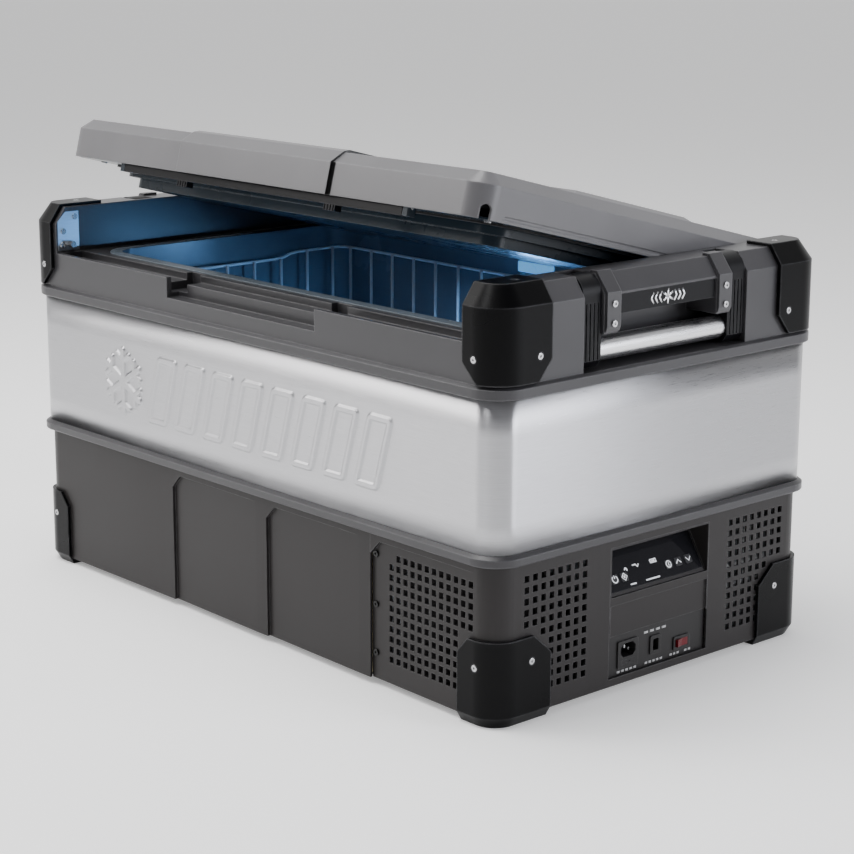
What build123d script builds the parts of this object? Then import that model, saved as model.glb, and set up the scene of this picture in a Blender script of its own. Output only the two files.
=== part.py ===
from build123d import *
import os
from math import atan2, degrees, sqrt

# Large portable compressor fridge. Millimetres, +Z up, origin on the floor under its middle.
# +X is the end with the control panel, -Y is the long front face.

os.makedirs("parts", exist_ok=True)

# ---- Driving sizes ----
LENGTH = 890.0          # over the flange, end to end
WIDTH = 530.0           # over the flange, front to back
HEIGHT = 482.0          # floor to the top of the corner guards
CORNER_R = 38.0         # flange corner in plan
FOOT_H = 8.0            # base housing above the floor
BASE_H = 173.5          # base housing
BEAD_H = 12.5           # moulded strip between the base and the steel
FLANGE_H = 13.5         # bottom flange of the top frame
RIM_H = 43.5            # long rims above the flange
WALL_RISE = 59.0        # end walls above the long rims
WALL_CHAMFER_H = 21.0   # height of the slope round the top of the end walls
WALL_CHAMFER_D = 15.0   # depth of that slope
FRAME_INSET = 6.0       # steel and top frame inside the flange
BASE_INSET = 10.0       # base housing inside the flange
SKIN = 3.0              # moulded wall
STEEL_T = 0.8           # steel band
END_WALL_T = 52.0       # raised end walls, outer face to inner face
TUB_WALL = 2.0          # liner of the tub
TUB_RIM_X = 90.0        # tub opening from the flange, at the ends
TUB_RIM_Y = 70.0        # tub opening from the flange, front and back
TUB_R = 30.0            # tub corner in plan
TUB_FLOOR = 62.0        # inside floor of the tub
STEP_FLOOR = 215.0      # inside floor over the machine bay
BAY_L = 212.0           # machine bay cover, from the flange end
LID_GAP_X = 2.0         # between the lid's ends and the end walls
LID_INSET_Y = 13.0      # lid's long faces inside the flange
LID_RISE = 4.7          # lid's lower edge above the rim
LID_SIDE_H = 36.9       # upright part of the lid's sides
LID_SLOPE_H = 13.2      # slope round the lid's top
LID_SLOPE_D = 14.0
LID_CROWN_H = 3.8       # raised middle bands of the lid
LID_R = 26.0            # lid corner in plan
LID_OPEN = 14.4         # degrees that the lid stands open at rest
PIN_R = 4.0             # hinge pins on the end walls
PIN_INSET_Y = 27.0      # hinge pins inside the flange
PIN_RISE = 11.0         # hinge pins above the rim
HANDLE_HALF = 131.0     # outer faces of the handle's arms from the middle
ARM_T = 28.0            # handle arm across
TUBE_R = 13.5           # handle grip tube
AXLE_R = 4.0            # handle pivot rod
GUARD_T = 6.0           # corner guards
VENT = 7.5              # square vent holes
SCREW_R = 2.0           # screw shanks
HEAD_R = 4.0            # screw heads
RUN = 0.06              # running clearance of a pin in its hole
GAP = 1.0               # clearance beside a moving piece

# ---- Derived levels and faces ----
HX = LENGTH / 2
HY = WIDTH / 2
BASE_X = HX - BASE_INSET
BASE_Y = HY - BASE_INSET
BASE_R = CORNER_R - BASE_INSET
FRAME_X = HX - FRAME_INSET
FRAME_Y = HY - FRAME_INSET
FRAME_R = CORNER_R - FRAME_INSET
BASE_TOP = FOOT_H + BASE_H
BEAD_TOP = BASE_TOP + BEAD_H
GUARD_CAP = 4.0                                  # guard over the wall's top
WALL_TOP = HEIGHT - GUARD_CAP
RIM_TOP = WALL_TOP - WALL_RISE
FLANGE_TOP = RIM_TOP - RIM_H
STEEL_TOP = FLANGE_TOP - FLANGE_H
CHAMFER_Z = WALL_TOP - WALL_CHAMFER_H
WALL_TAPER = degrees(atan2(WALL_CHAMFER_D, WALL_CHAMFER_H))
WALL_IN = FRAME_X - END_WALL_T                   # inner face of the end walls
TUB_X = HX - TUB_RIM_X
TUB_Y = HY - TUB_RIM_Y
BAY_X = HX - BAY_L                               # left edge of the machine bay cover
STEP_X = BAY_X - 25.0                            # inner face of the tub's step
BOTH = (-1, 1)
ENDS = (("right", 1), ("left", -1))
CORNERS = (("front_right", 1, -1), ("front_left", -1, -1), ("back_right", 1, 1), ("back_left", -1, 1))

# =====================================================================================
# Base housing
# =====================================================================================
STEP_D = 4.0            # depth of a panel step at its left edge
STEP_L = 170.0          # length over which the panel comes back flush
STEP_TOP = BASE_TOP - 10.5
STEP_CUT = 16.0         # cut corner at the top of a panel
STEP_PITCH = 189.5
STEP_XS = (BAY_X - 2 * STEP_PITCH, BAY_X - STEP_PITCH)
PAD_T = STEP_D + 0.5    # wall thickening behind a step

# The recess of one front panel, with its left edge at x = 0: deep there, flush at the right.
with BuildPart() as front_step:
    with BuildSketch(Plane.XY.offset(FOOT_H - 1)):
        with BuildLine():
            Polyline(
                (0, STEP_D - BASE_Y),
                (STEP_L, -BASE_Y),
                (STEP_L, -BASE_Y - 1),
                (0, -BASE_Y - 1),
                close=True,
            )
        make_face()
    extrude(amount=STEP_TOP - FOOT_H + 1)
    with BuildSketch(Plane.XZ.offset(BASE_Y)):
        with BuildLine():
            Polyline((0, STEP_TOP - STEP_CUT), (STEP_CUT, STEP_TOP), (0, STEP_TOP), close=True)
        make_face()
    extrude(amount=2 * STEP_D, both=True, mode=Mode.SUBTRACT)
back_step = mirror(front_step.part, about=Plane.XZ)

BASE_SCREWS = []
for sx in BOTH:
    for sy in BOTH:
        BASE_SCREWS.append(Location((sx * (BASE_X + GUARD_T - 1), sy * (HY - 62), 70), (0, sx * 90, 0)))
        BASE_SCREWS.append(Location((sx * (HX - 36), sy * (BASE_Y + GUARD_T - 1), 67), (sy * -90, 0, 0)))
COVER_SCREWS = []
for sy in BOTH:
    for z in (39, 96, 155):
        COVER_SCREWS.append(Location((BAY_X + 7, sy * (BASE_Y - STEP_D + 0.35), z), (sy * -90, 0, 0)))

with BuildPart() as lower_body_shell:
    with BuildSketch(Plane.XY.offset(FOOT_H)):
        RectangleRounded(2 * BASE_X, 2 * BASE_Y, BASE_R)
        RectangleRounded(2 * (BASE_X - SKIN), 2 * (BASE_Y - SKIN), BASE_R - SKIN, mode=Mode.SUBTRACT)
    extrude(amount=BASE_H)
    for sy in BOTH:
        for x in STEP_XS:
            with Locations((x + STEP_L / 2, sy * (BASE_Y - SKIN - PAD_T / 2), FOOT_H + BASE_H / 2)):
                Box(STEP_L + 8, PAD_T + 0.2, BASE_H)
    with Locations((BAY_X + 300, 0, FOOT_H + BASE_H / 2)):
        Box(600, 2 * WIDTH, 2 * BASE_H, mode=Mode.SUBTRACT)
    with Locations(*[(x, 0, 0) for x in STEP_XS]):
        add(front_step.part, mode=Mode.SUBTRACT)
        add(back_step, mode=Mode.SUBTRACT)
    with Locations(*BASE_SCREWS):
        Cylinder(SCREW_R, 24, mode=Mode.SUBTRACT)
lower_body_shell.part.label = "lower_body_shell"
export_step(lower_body_shell.part, "parts/lower_body_shell.step")

# Vented cover round the machine bay: front, end and back walls, with the panels' cut-out.
PANEL_Y0 = -78.0
PANEL_Y1 = 86.5
PANEL_Z0 = 17.0
PANEL_Z1 = 170.0
SOCKET_Z1 = 65.0        # top of the power panel
SIDE_PITCH = 12.0
SIDE_COLS = 12
ROWS = 11
END_PITCH = 12.7
END_COLS = 8
END_VENT_Y = HY - 146.25   # first column of the end vents
RIGHT_VENT_SHIFT = 5.0
side_vents = []
for row in range(ROWS):
    for col in range(SIDE_COLS):
        near_guard = col > 9 and row < 6
        corner_hole = col == 0 and row == ROWS - 1
        if not near_guard and not corner_hole:
            side_vents.append((BAY_X + 33 + col * SIDE_PITCH, 36.5 + row * SIDE_PITCH))
end_vents = []
for row in range(ROWS):
    cols = 5 if row < 5 else (6 if row == 5 else END_COLS)
    for col in range(cols):
        vent_y = END_VENT_Y + col * END_PITCH
        vent_z = 34.75 + row * END_PITCH
        end_vents.append((vent_y + RIGHT_VENT_SHIFT, vent_z))
        end_vents.append((-vent_y, vent_z))

with BuildPart() as compressor_cover:
    with BuildSketch(Plane.XY.offset(FOOT_H)):
        RectangleRounded(2 * BASE_X, 2 * BASE_Y, BASE_R)
        RectangleRounded(2 * (BASE_X - SKIN), 2 * (BASE_Y - SKIN), BASE_R - SKIN, mode=Mode.SUBTRACT)
    extrude(amount=BASE_H)
    for sy in BOTH:
        with Locations((BAY_X + STEP_L / 2, sy * (BASE_Y - SKIN - PAD_T / 2), FOOT_H + BASE_H / 2)):
            Box(STEP_L, PAD_T + 0.2, BASE_H)
    with Locations((BAY_X - 800, 0, FOOT_H + BASE_H / 2)):
        Box(1600, 2 * WIDTH, 2 * BASE_H, mode=Mode.SUBTRACT)
    with Locations((BAY_X, 0, 0)):
        add(front_step.part, mode=Mode.SUBTRACT)
        add(back_step, mode=Mode.SUBTRACT)
    with BuildSketch(Plane.XZ):
        with Locations(*side_vents):
            Rectangle(VENT, VENT)
    extrude(amount=2 * HY, both=True, mode=Mode.SUBTRACT)
    with BuildSketch(Plane.YZ.offset(BASE_X - 2 * SKIN)):
        with Locations(*end_vents):
            Rectangle(VENT, VENT)
        with Locations(((PANEL_Y0 + PANEL_Y1) / 2, (PANEL_Z0 + PANEL_Z1) / 2)):
            Rectangle(PANEL_Y1 - PANEL_Y0, PANEL_Z1 - PANEL_Z0)
    extrude(amount=4 * SKIN, mode=Mode.SUBTRACT)
    with Locations(*BASE_SCREWS):
        Cylinder(SCREW_R, 24, mode=Mode.SUBTRACT)
    with Locations(*COVER_SCREWS):
        Cylinder(SCREW_R, 24, mode=Mode.SUBTRACT)
compressor_cover.part.label = "compressor_cover"
export_step(compressor_cover.part, "parts/compressor_cover.step")

# Floor of the housing with two skid ribs under it.
SKID_H = FOOT_H - 2.0
SKID_W = 14.0
with BuildPart() as base_pan:
    with BuildSketch(Plane.XY.offset(FOOT_H)):
        RectangleRounded(2 * (BASE_X - SKIN - PAD_T) - 1, 2 * (BASE_Y - SKIN - PAD_T) - 1, BASE_R - 10)
    extrude(amount=SKIN)
    for sy in BOTH:
        with Locations((0, sy * (HY - 145), FOOT_H - SKID_H / 2)):
            Box(LENGTH - 190, SKID_W, SKID_H)
base_pan.part.label = "base_pan"
export_step(base_pan.part, "parts/base_pan.step")

# Sheet between the machine bay and the foam: an upright and the bay's roof.
BULKHEAD_T = 2.0
ROOF_Z = BASE_TOP + 2.5
ROOF_INSET = 20.0
with BuildPart() as bay_bulkhead:
    with BuildSketch(Plane.XZ):
        with BuildLine():
            Polyline(
                (BAY_X - 5, FOOT_H + SKIN),
                (BAY_X - 5 + BULKHEAD_T, FOOT_H + SKIN),
                (BAY_X - 5 + BULKHEAD_T, ROOF_Z),
                (BASE_X - ROOF_INSET, ROOF_Z),
                (BASE_X - ROOF_INSET, ROOF_Z + BULKHEAD_T),
                (BAY_X - 5, ROOF_Z + BULKHEAD_T),
                close=True,
            )
        make_face()
    extrude(amount=BASE_Y - SKIN - PAD_T - 1, both=True)
bay_bulkhead.part.label = "bay_bulkhead"
export_step(bay_bulkhead.part, "parts/bay_bulkhead.step")

# Moulded strip between the base housing and the steel.
BEAD_IN = BASE_INSET + 5.0
with BuildPart() as lower_trim_bead:
    with BuildSketch(Plane.XY.offset(BASE_TOP)):
        RectangleRounded(LENGTH, WIDTH, CORNER_R)
    extrude(amount=BEAD_H)
    chamfer(lower_trim_bead.edges().group_by(Axis.Z)[-1], length=3.5, length2=5.0)
    fillet(lower_trim_bead.edges().group_by(Axis.Z)[0], radius=2.0)
    with BuildSketch(Plane.XY.offset(BASE_TOP)):
        RectangleRounded(2 * (HX - BEAD_IN), 2 * (HY - BEAD_IN), CORNER_R - BEAD_IN)
    extrude(amount=BEAD_H, mode=Mode.SUBTRACT)
lower_trim_bead.part.label = "lower_trim_bead"
export_step(lower_trim_bead.part, "parts/lower_trim_bead.step")

# Brushed stainless band.
with BuildPart() as steel_wrap:
    with BuildSketch(Plane.XY.offset(BEAD_TOP)):
        RectangleRounded(2 * FRAME_X, 2 * FRAME_Y, FRAME_R)
        RectangleRounded(
            2 * (FRAME_X - STEEL_T),
            2 * (FRAME_Y - STEEL_T),
            FRAME_R - STEEL_T,
            mode=Mode.SUBTRACT,
        )
    extrude(amount=STEEL_TOP - BEAD_TOP)
steel_wrap.part.label = "steel_wrap"
export_step(steel_wrap.part, "parts/steel_wrap.step")

# =====================================================================================
# Tub, foam and evaporator
# =====================================================================================
FOAM_GAP = 1.0
TUB_LIP = 14.0          # lip of the tub on the rim
LIP_T = 1.5
EVAP_T = 1.2
EVAP_Z0 = STEP_FLOOR + 25.0
EVAP_Z1 = STEEL_TOP - 6.0

# Outer form of the tub: a deep main part and a shallow part over the machine bay.
with BuildPart() as tub_form:
    with BuildSketch(Plane.XY.offset(STEP_FLOOR - TUB_WALL)):
        RectangleRounded(2 * TUB_X, 2 * TUB_Y, TUB_R)
    extrude(amount=RIM_TOP - STEP_FLOOR + TUB_WALL)
    with BuildSketch(Plane.XY.offset(TUB_FLOOR - TUB_WALL)):
        with Locations(((STEP_X + TUB_WALL - TUB_X) / 2, 0)):
            RectangleRounded(TUB_X + STEP_X + TUB_WALL, 2 * TUB_Y, TUB_R)
    extrude(amount=STEP_FLOOR - TUB_FLOOR + TUB_WALL)

with BuildPart() as inner_tub:
    add(tub_form.part)
    with BuildSketch(Plane.XY.offset(RIM_TOP)):
        RectangleRounded(2 * (TUB_X + TUB_LIP), 2 * (TUB_Y + TUB_LIP), TUB_R + TUB_LIP)
    extrude(amount=LIP_T)
    with BuildSketch(Plane.XY.offset(STEP_FLOOR)):
        RectangleRounded(2 * (TUB_X - TUB_WALL), 2 * (TUB_Y - TUB_WALL), TUB_R - TUB_WALL)
    extrude(amount=HEIGHT, mode=Mode.SUBTRACT)
    with BuildSketch(Plane.XY.offset(TUB_FLOOR)):
        with Locations(((STEP_X - TUB_X + TUB_WALL) / 2, 0)):
            RectangleRounded(TUB_X + STEP_X - TUB_WALL, 2 * (TUB_Y - TUB_WALL), TUB_R - TUB_WALL)
    extrude(amount=STEP_FLOOR, mode=Mode.SUBTRACT)
inner_tub.part.label = "inner_tub"
export_step(inner_tub.part, "parts/inner_tub.step")

with BuildPart() as evaporator:
    with BuildSketch(Plane.XY.offset(EVAP_Z0)):
        RectangleRounded(2 * (TUB_X + EVAP_T), 2 * (TUB_Y + EVAP_T), TUB_R + EVAP_T)
        RectangleRounded(2 * TUB_X, 2 * TUB_Y, TUB_R, mode=Mode.SUBTRACT)
    extrude(amount=EVAP_Z1 - EVAP_Z0)
evaporator.part.label = "evaporator"
export_step(evaporator.part, "parts/evaporator.step")

# Foam round the tub: in the base, over the bay, behind the steel and up into the top frame.
RIM_SKIN = 4.0
LOW_CEILING = RIM_TOP - 29.0      # foam top under the latch recesses
HIGH_CEILING = RIM_TOP - 13.0     # foam top elsewhere
RECESS_HALF = 142.0               # latch recess in the rim, half its length
HOOK_X = 140.0                    # latch hooks from the middle
HOOK_W = 20.0
SLOT_HALF = HOOK_W / 2 + 4.0      # hook slots in the rim, half their length
FOAM_SPLIT = HOOK_X + SLOT_HALF + RIM_SKIN
CHANNEL_Y0 = TUB_Y + RIM_SKIN
CHANNEL_Y1 = FRAME_Y - RIM_SKIN
with BuildPart() as insulation_foam:
    foam_in = SKIN + PAD_T + FOAM_GAP
    with BuildSketch(Plane.XY.offset(FOOT_H + SKIN)):
        RectangleRounded(2 * (BASE_X - foam_in), 2 * (BASE_Y - foam_in), BASE_R)
    extrude(amount=BEAD_TOP - FOOT_H - SKIN)
    with Locations((BAY_X - 5 + LENGTH / 2, 0, (ROOF_Z + BULKHEAD_T) / 2)):
        Box(LENGTH, WIDTH, ROOF_Z + BULKHEAD_T, mode=Mode.SUBTRACT)
    with BuildSketch(Plane.XY.offset(BEAD_TOP)):
        RectangleRounded(2 * (FRAME_X - STEEL_T), 2 * (FRAME_Y - STEEL_T), FRAME_R - STEEL_T)
    extrude(amount=STEEL_TOP - BEAD_TOP)
    for sx in BOTH:
        with Locations((sx * (FOAM_SPLIT + WALL_IN) / 2, 0, (STEEL_TOP + HIGH_CEILING) / 2)):
            Box(WALL_IN - FOAM_SPLIT - RIM_SKIN, 2 * CHANNEL_Y1, HIGH_CEILING - STEEL_TOP)
    with Locations((0, 0, (STEEL_TOP + LOW_CEILING) / 2)):
        Box(2 * FOAM_SPLIT, 2 * CHANNEL_Y1, LOW_CEILING - STEEL_TOP)
    with BuildSketch(Plane.XY.offset(STEEL_TOP)):
        RectangleRounded(2 * (TUB_X + RIM_SKIN), 2 * CHANNEL_Y0, TUB_R + RIM_SKIN)
    extrude(amount=RIM_H + FLANGE_H, mode=Mode.SUBTRACT)
    add(tub_form.part, mode=Mode.SUBTRACT)
    add(evaporator.part, mode=Mode.SUBTRACT)
foam_channels = insulation_foam.part
insulation_foam.part.label = "insulation_foam"
export_step(insulation_foam.part, "parts/insulation_foam.step")

# =====================================================================================
# Top frame: flange, long rims, raised end walls, handle and latch recesses
# =====================================================================================
GUTTER_Z = RIM_TOP - 9.0          # floor of the gutter that the latch bar drops into
GUTTER_IN = HY - 45.0             # gutter's inner edge
GUTTER_OUT = HY - LID_INSET_Y     # and its outer edge, behind the outer lip
RECESS_Z = RIM_TOP - 25.0         # floor of the finger recess
RECESS_IN = HY - 25.0             # inner face of the finger recess
SLOT_IN = HY - 54.0               # hook slots reach further in
SLOT_Z = RIM_TOP - 19.0
PIN_Y = HY - PIN_INSET_Y
PIN_Z = RIM_TOP + PIN_RISE
PIVOT_X = FRAME_X - 25.0          # handle pivot
PIVOT_Z = WALL_TOP - 21.0
HEAD_ROUND = 22.0                 # rounded head of the handle's arms
HAND_IN = WALL_IN + 7.0           # back of the hand recess
BADGE_Z0 = WALL_TOP - 45.0
BADGE_Z1 = WALL_TOP - 23.0
BADGE_T = 3.0
ARM_IN = HANDLE_HALF - ARM_T
BRACKET_Y1 = ARM_IN - 2.0         # brackets, just inside the arms
BRACKET_Y0 = BRACKET_Y1 - 21.0
BRACKET_END_Z = WALL_TOP - 62.0   # lower ends of the brackets
BADGE_HALF = BRACKET_Y0 - 2.0     # badge plate, just inside the brackets
AXLE_END = HANDLE_HALF + 9.0
PLATE_T = 1.5
PLATE_Y0 = HY - 41.0              # hinge plate
PLATE_Y1 = HY - 9.0
PLATE_Z0 = RIM_TOP + 3.0
PLATE_Z1 = WALL_TOP - 6.0
PLATE_CUT = 12.0
PIN_LEN = 9.0                     # hinge pin out of the plate

# Solid outer form of the end walls and rims, which the top guards fit over.
with BuildPart() as wall_form:
    with BuildSketch(Plane.XY.offset(FLANGE_TOP)):
        RectangleRounded(2 * FRAME_X, 2 * FRAME_Y, FRAME_R)
    extrude(amount=CHAMFER_Z - FLANGE_TOP)
    with BuildSketch(Plane.XY.offset(CHAMFER_Z)):
        RectangleRounded(2 * FRAME_X, 2 * FRAME_Y, FRAME_R)
    extrude(amount=WALL_CHAMFER_H, taper=WALL_TAPER)

TOP_SCREWS = []
for sx in BOTH:
    for sy in BOTH:
        TOP_SCREWS.append(Location((sx * HX, sy * (HY - 63), FLANGE_TOP + 29), (0, sx * 90, 0)))
        TOP_SCREWS.append(Location((sx * (HX - 36), sy * HY, FLANGE_TOP + 28), (sy * -90, 0, 0)))
        TOP_SCREWS.append(Location((sx * (HX - 32), sy * (HY - 55), HEIGHT), (0, 0, 0)))
PLATE_SCREWS = []
for sx in BOTH:
    for sy in BOTH:
        for y, z in (
            (PLATE_Y1 - 7, PLATE_Z0 + 7),
            (PLATE_Y0 + 6, PLATE_Z1 - 7),
            (PLATE_Y1 - 8, PLATE_Z0 + 25),
        ):
            PLATE_SCREWS.append(Location((sx * WALL_IN, sy * y, z), (0, sx * -90, 0)))
BRACKET_T = 4.0
BRACKET_SCREWS = []
for sx in BOTH:
    for sy in BOTH:
        for z in (WALL_TOP - 31.5, WALL_TOP - 53.0):
            y = (BRACKET_Y0 + BRACKET_Y1) / 2
            BRACKET_SCREWS.append(Location((sx * (FRAME_X + BRACKET_T), sy * y, z), (0, sx * 90, 0)))

with BuildPart() as upper_frame:
    with BuildSketch(Plane.XY.offset(STEEL_TOP)):
        RectangleRounded(LENGTH, WIDTH, CORNER_R)
    extrude(amount=FLANGE_H)
    chamfer(upper_frame.edges().group_by(Axis.Z)[-1], length=2.5, length2=4.0)
    fillet(upper_frame.edges().group_by(Axis.Z)[0], radius=1.5)
    add(wall_form.part)
    with Locations((0, 0, RIM_TOP + HEIGHT / 2)):
        Box(2 * WALL_IN, 2 * WIDTH, HEIGHT, mode=Mode.SUBTRACT)
    with BuildSketch(Plane.XY.offset(STEEL_TOP)):
        RectangleRounded(2 * TUB_X, 2 * TUB_Y, TUB_R)
    extrude(amount=HEIGHT, mode=Mode.SUBTRACT)
    # front gutter with an outer lip, and the back one open so that the lid can turn down over it
    gutter_y = (GUTTER_IN + GUTTER_OUT) / 2
    with Locations((0, -gutter_y, GUTTER_Z + HEIGHT / 2)):
        Box(2 * (WALL_IN - GAP), GUTTER_OUT - GUTTER_IN, HEIGHT, mode=Mode.SUBTRACT)
    with Locations((0, GUTTER_IN + WIDTH / 2, GUTTER_Z + HEIGHT / 2)):
        Box(2 * (WALL_IN - GAP), WIDTH, HEIGHT, mode=Mode.SUBTRACT)
    # finger recesses and hook slots
    for sy in BOTH:
        with Locations((0, sy * (RECESS_IN + WIDTH / 2), RECESS_Z + HEIGHT / 2)):
            Box(2 * RECESS_HALF, WIDTH, HEIGHT, mode=Mode.SUBTRACT)
        slot_y = (SLOT_IN + GUTTER_OUT) / 2
        with Locations(*[(sx * HOOK_X, sy * slot_y, SLOT_Z + HEIGHT / 2) for sx in BOTH]):
            Box(2 * SLOT_HALF, GUTTER_OUT - SLOT_IN, HEIGHT, mode=Mode.SUBTRACT)
    for sx in BOTH:
        # hand recess, deep under the badge and between the brackets
        for half, top in ((BADGE_HALF + 2, BADGE_Z0), (BRACKET_Y1 + GAP, BRACKET_END_Z - 2)):
            with Locations((sx * (HAND_IN + HX) / 2, 0, (FLANGE_TOP + top) / 2)):
                Box(HX - HAND_IN, 2 * half, top - FLANGE_TOP, mode=Mode.SUBTRACT)
        with Locations((sx * (FRAME_X - BADGE_T / 2), 0, (BADGE_Z0 + BADGE_Z1) / 2)):
            Box(BADGE_T, 2 * (BADGE_HALF + 2), BADGE_Z1 - BADGE_Z0, mode=Mode.SUBTRACT)
        # arm slots, open to the top
        with Locations(*[
            (sx * (PIVOT_X - HEAD_ROUND - GAP + HX / 2), sy * (ARM_IN + ARM_T / 2), FLANGE_TOP + HEIGHT / 2)
            for sy in BOTH
        ]):
            Box(HX, ARM_T + 2 * GAP, HEIGHT, mode=Mode.SUBTRACT)
        with BuildSketch(Plane.XZ):
            with Locations((sx * PIVOT_X, PIVOT_Z)):
                Circle(AXLE_R + RUN)
        extrude(amount=AXLE_END + GAP, both=True, mode=Mode.SUBTRACT)
        # pockets of the hinge plates
        for sy in BOTH:
            with BuildSketch(Plane.YZ.offset(sx * WALL_IN)):
                with BuildLine():
                    Polyline(
                        (sy * PLATE_Y0, PLATE_Z0),
                        (sy * PLATE_Y1, PLATE_Z0),
                        (sy * PLATE_Y1, PLATE_Z1 - PLATE_CUT),
                        (sy * (PLATE_Y1 - PLATE_CUT), PLATE_Z1),
                        (sy * PLATE_Y0, PLATE_Z1),
                        close=True,
                    )
                make_face()
            extrude(amount=sx * PLATE_T, mode=Mode.SUBTRACT)
    with Locations(*[(sx * (WALL_IN + 4), sy * PIN_Y, PIN_Z) for sx in BOTH for sy in BOTH]):
        Cylinder(PIN_R, 16, rotation=(0, 90, 0), mode=Mode.SUBTRACT)
    with Locations(*TOP_SCREWS):
        Cylinder(SCREW_R, 36, mode=Mode.SUBTRACT)
    with Locations(*(PLATE_SCREWS + BRACKET_SCREWS)):
        Cylinder(SCREW_R, 24, mode=Mode.SUBTRACT)
    add(foam_channels, mode=Mode.SUBTRACT)
upper_frame.part.label = "upper_frame"
export_step(upper_frame.part, "parts/upper_frame.step")

# =====================================================================================
# Corner guards and their screws
# =====================================================================================
GUARD_X = 53.0          # top guard along the long faces
GUARD_Y = 80.0          # and along the end faces
GUARD_Z0 = FLANGE_TOP + 1.5
LOW_GUARD_X = 58.0
LOW_GUARD_Y = 86.0
LOW_GUARD_TOP = 98.0
LOW_OUT = 5.0           # bottom guards stand this proud of the base housing
FOOT_TAPER = 7.0

for name, sx, sy in CORNERS:
    with BuildPart() as top_guard:
        with BuildSketch(Plane.XY.offset(GUARD_Z0)):
            RectangleRounded(LENGTH, WIDTH, CORNER_R)
        extrude(amount=CHAMFER_Z + GUARD_CAP / 2 - GUARD_Z0)
        with BuildSketch(Plane.XY.offset(CHAMFER_Z + GUARD_CAP / 2)):
            RectangleRounded(LENGTH, WIDTH, CORNER_R)
        extrude(amount=HEIGHT - CHAMFER_Z - GUARD_CAP / 2, taper=WALL_TAPER)
        with Locations((sx * (HX - GUARD_X / 2), sy * (HY - GUARD_Y / 2), HEIGHT / 2)):
            Box(GUARD_X, GUARD_Y, 2 * HEIGHT, mode=Mode.INTERSECT)
        with BuildSketch(Plane.YZ):
            with BuildLine():
                y0 = sy * (HY - GUARD_Y)
                Polyline((y0, GUARD_Z0), (y0 + sy * 19, GUARD_Z0), (y0, GUARD_Z0 + 23), close=True)
            make_face()
        extrude(amount=sx * LENGTH, mode=Mode.SUBTRACT)
        with BuildSketch(Plane.XZ):
            with BuildLine():
                x0 = sx * (HX - GUARD_X)
                Polyline((x0, GUARD_Z0), (x0 + sx * 22, GUARD_Z0), (x0, GUARD_Z0 + 22), close=True)
            make_face()
        extrude(amount=-sy * WIDTH, mode=Mode.SUBTRACT)
        add(wall_form.part, mode=Mode.SUBTRACT)
        with Locations(*TOP_SCREWS):
            Cylinder(SCREW_R, 36, mode=Mode.SUBTRACT)
            Cylinder(HEAD_R, 4.0, mode=Mode.SUBTRACT)
    top_guard.part.label = f"top_guard_{name}"
    export_step(top_guard.part, f"parts/top_guard_{name}.step")

    with BuildPart() as bottom_guard:
        foot_angle = degrees(atan2(FOOT_TAPER, 12.0))
        with BuildSketch(Plane.XY.offset(12)):
            RectangleRounded(2 * (BASE_X + LOW_OUT), 2 * (BASE_Y + LOW_OUT), BASE_R + LOW_OUT)
        extrude(amount=LOW_GUARD_TOP - 12)
        with BuildSketch(Plane.XY.offset(12)):
            RectangleRounded(2 * (BASE_X + LOW_OUT), 2 * (BASE_Y + LOW_OUT), BASE_R + LOW_OUT)
        extrude(amount=-12, taper=foot_angle)
        x1 = BASE_X + LOW_OUT
        y1 = BASE_Y + LOW_OUT
        with Locations((sx * (x1 - LOW_GUARD_X / 2), sy * (y1 - LOW_GUARD_Y / 2), 50)):
            Box(LOW_GUARD_X, LOW_GUARD_Y, 200, mode=Mode.INTERSECT)
        with BuildSketch(Plane.YZ):
            with BuildLine():
                y0 = sy * (y1 - LOW_GUARD_Y)
                Polyline((y0, 75), (y0, LOW_GUARD_TOP), (y0 + sy * 26, LOW_GUARD_TOP), close=True)
            make_face()
        extrude(amount=sx * LENGTH, mode=Mode.SUBTRACT)
        with BuildSketch(Plane.XZ):
            with BuildLine():
                x0 = sx * (x1 - LOW_GUARD_X)
                Polyline((x0, 80), (x0, LOW_GUARD_TOP), (x0 + sx * 16, LOW_GUARD_TOP), close=True)
            make_face()
        extrude(amount=-sy * WIDTH, mode=Mode.SUBTRACT)
        with BuildSketch(Plane.XY.offset(FOOT_H)):
            RectangleRounded(2 * BASE_X, 2 * BASE_Y, BASE_R)
        extrude(amount=BASE_H, mode=Mode.SUBTRACT)
        with Locations(*BASE_SCREWS):
            Cylinder(SCREW_R, 24, mode=Mode.SUBTRACT)
            Cylinder(HEAD_R, 3.0, mode=Mode.SUBTRACT)
    bottom_guard.part.label = f"bottom_guard_{name}"
    export_step(bottom_guard.part, f"parts/bottom_guard_{name}.step")


def screw(head_h, shank, sink):
    """A screw along +Z with its head's seat `sink` below z = 0 and a hexagon socket in the head."""
    with BuildPart() as body:
        with Locations((0, 0, -sink)):
            Cylinder(HEAD_R, head_h, align=(Align.CENTER, Align.CENTER, Align.MIN))
        top = body.faces().sort_by(Axis.Z)[-1]
        fillet(top.edges(), radius=0.8)
        with BuildSketch(Plane.XY.offset(head_h - sink)):
            RegularPolygon(1.6, 6)
        extrude(amount=-1.2, mode=Mode.SUBTRACT)
        with Locations((0, 0, -sink)):
            Cylinder(SCREW_R, shank, align=(Align.CENTER, Align.CENTER, Align.MAX))
    return body.part


# =====================================================================================
# End handles: ribbed arms, grip tube, pivot rod, brackets and badge plate
# =====================================================================================
TUBE_X = FRAME_X - 19.0
TUBE_Z = FLANGE_TOP + 19.1
ARM_BOTTOM = FLANGE_TOP + 3.0
SPIGOT_L = 14.0
TUBE_WALL = 2.0

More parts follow.
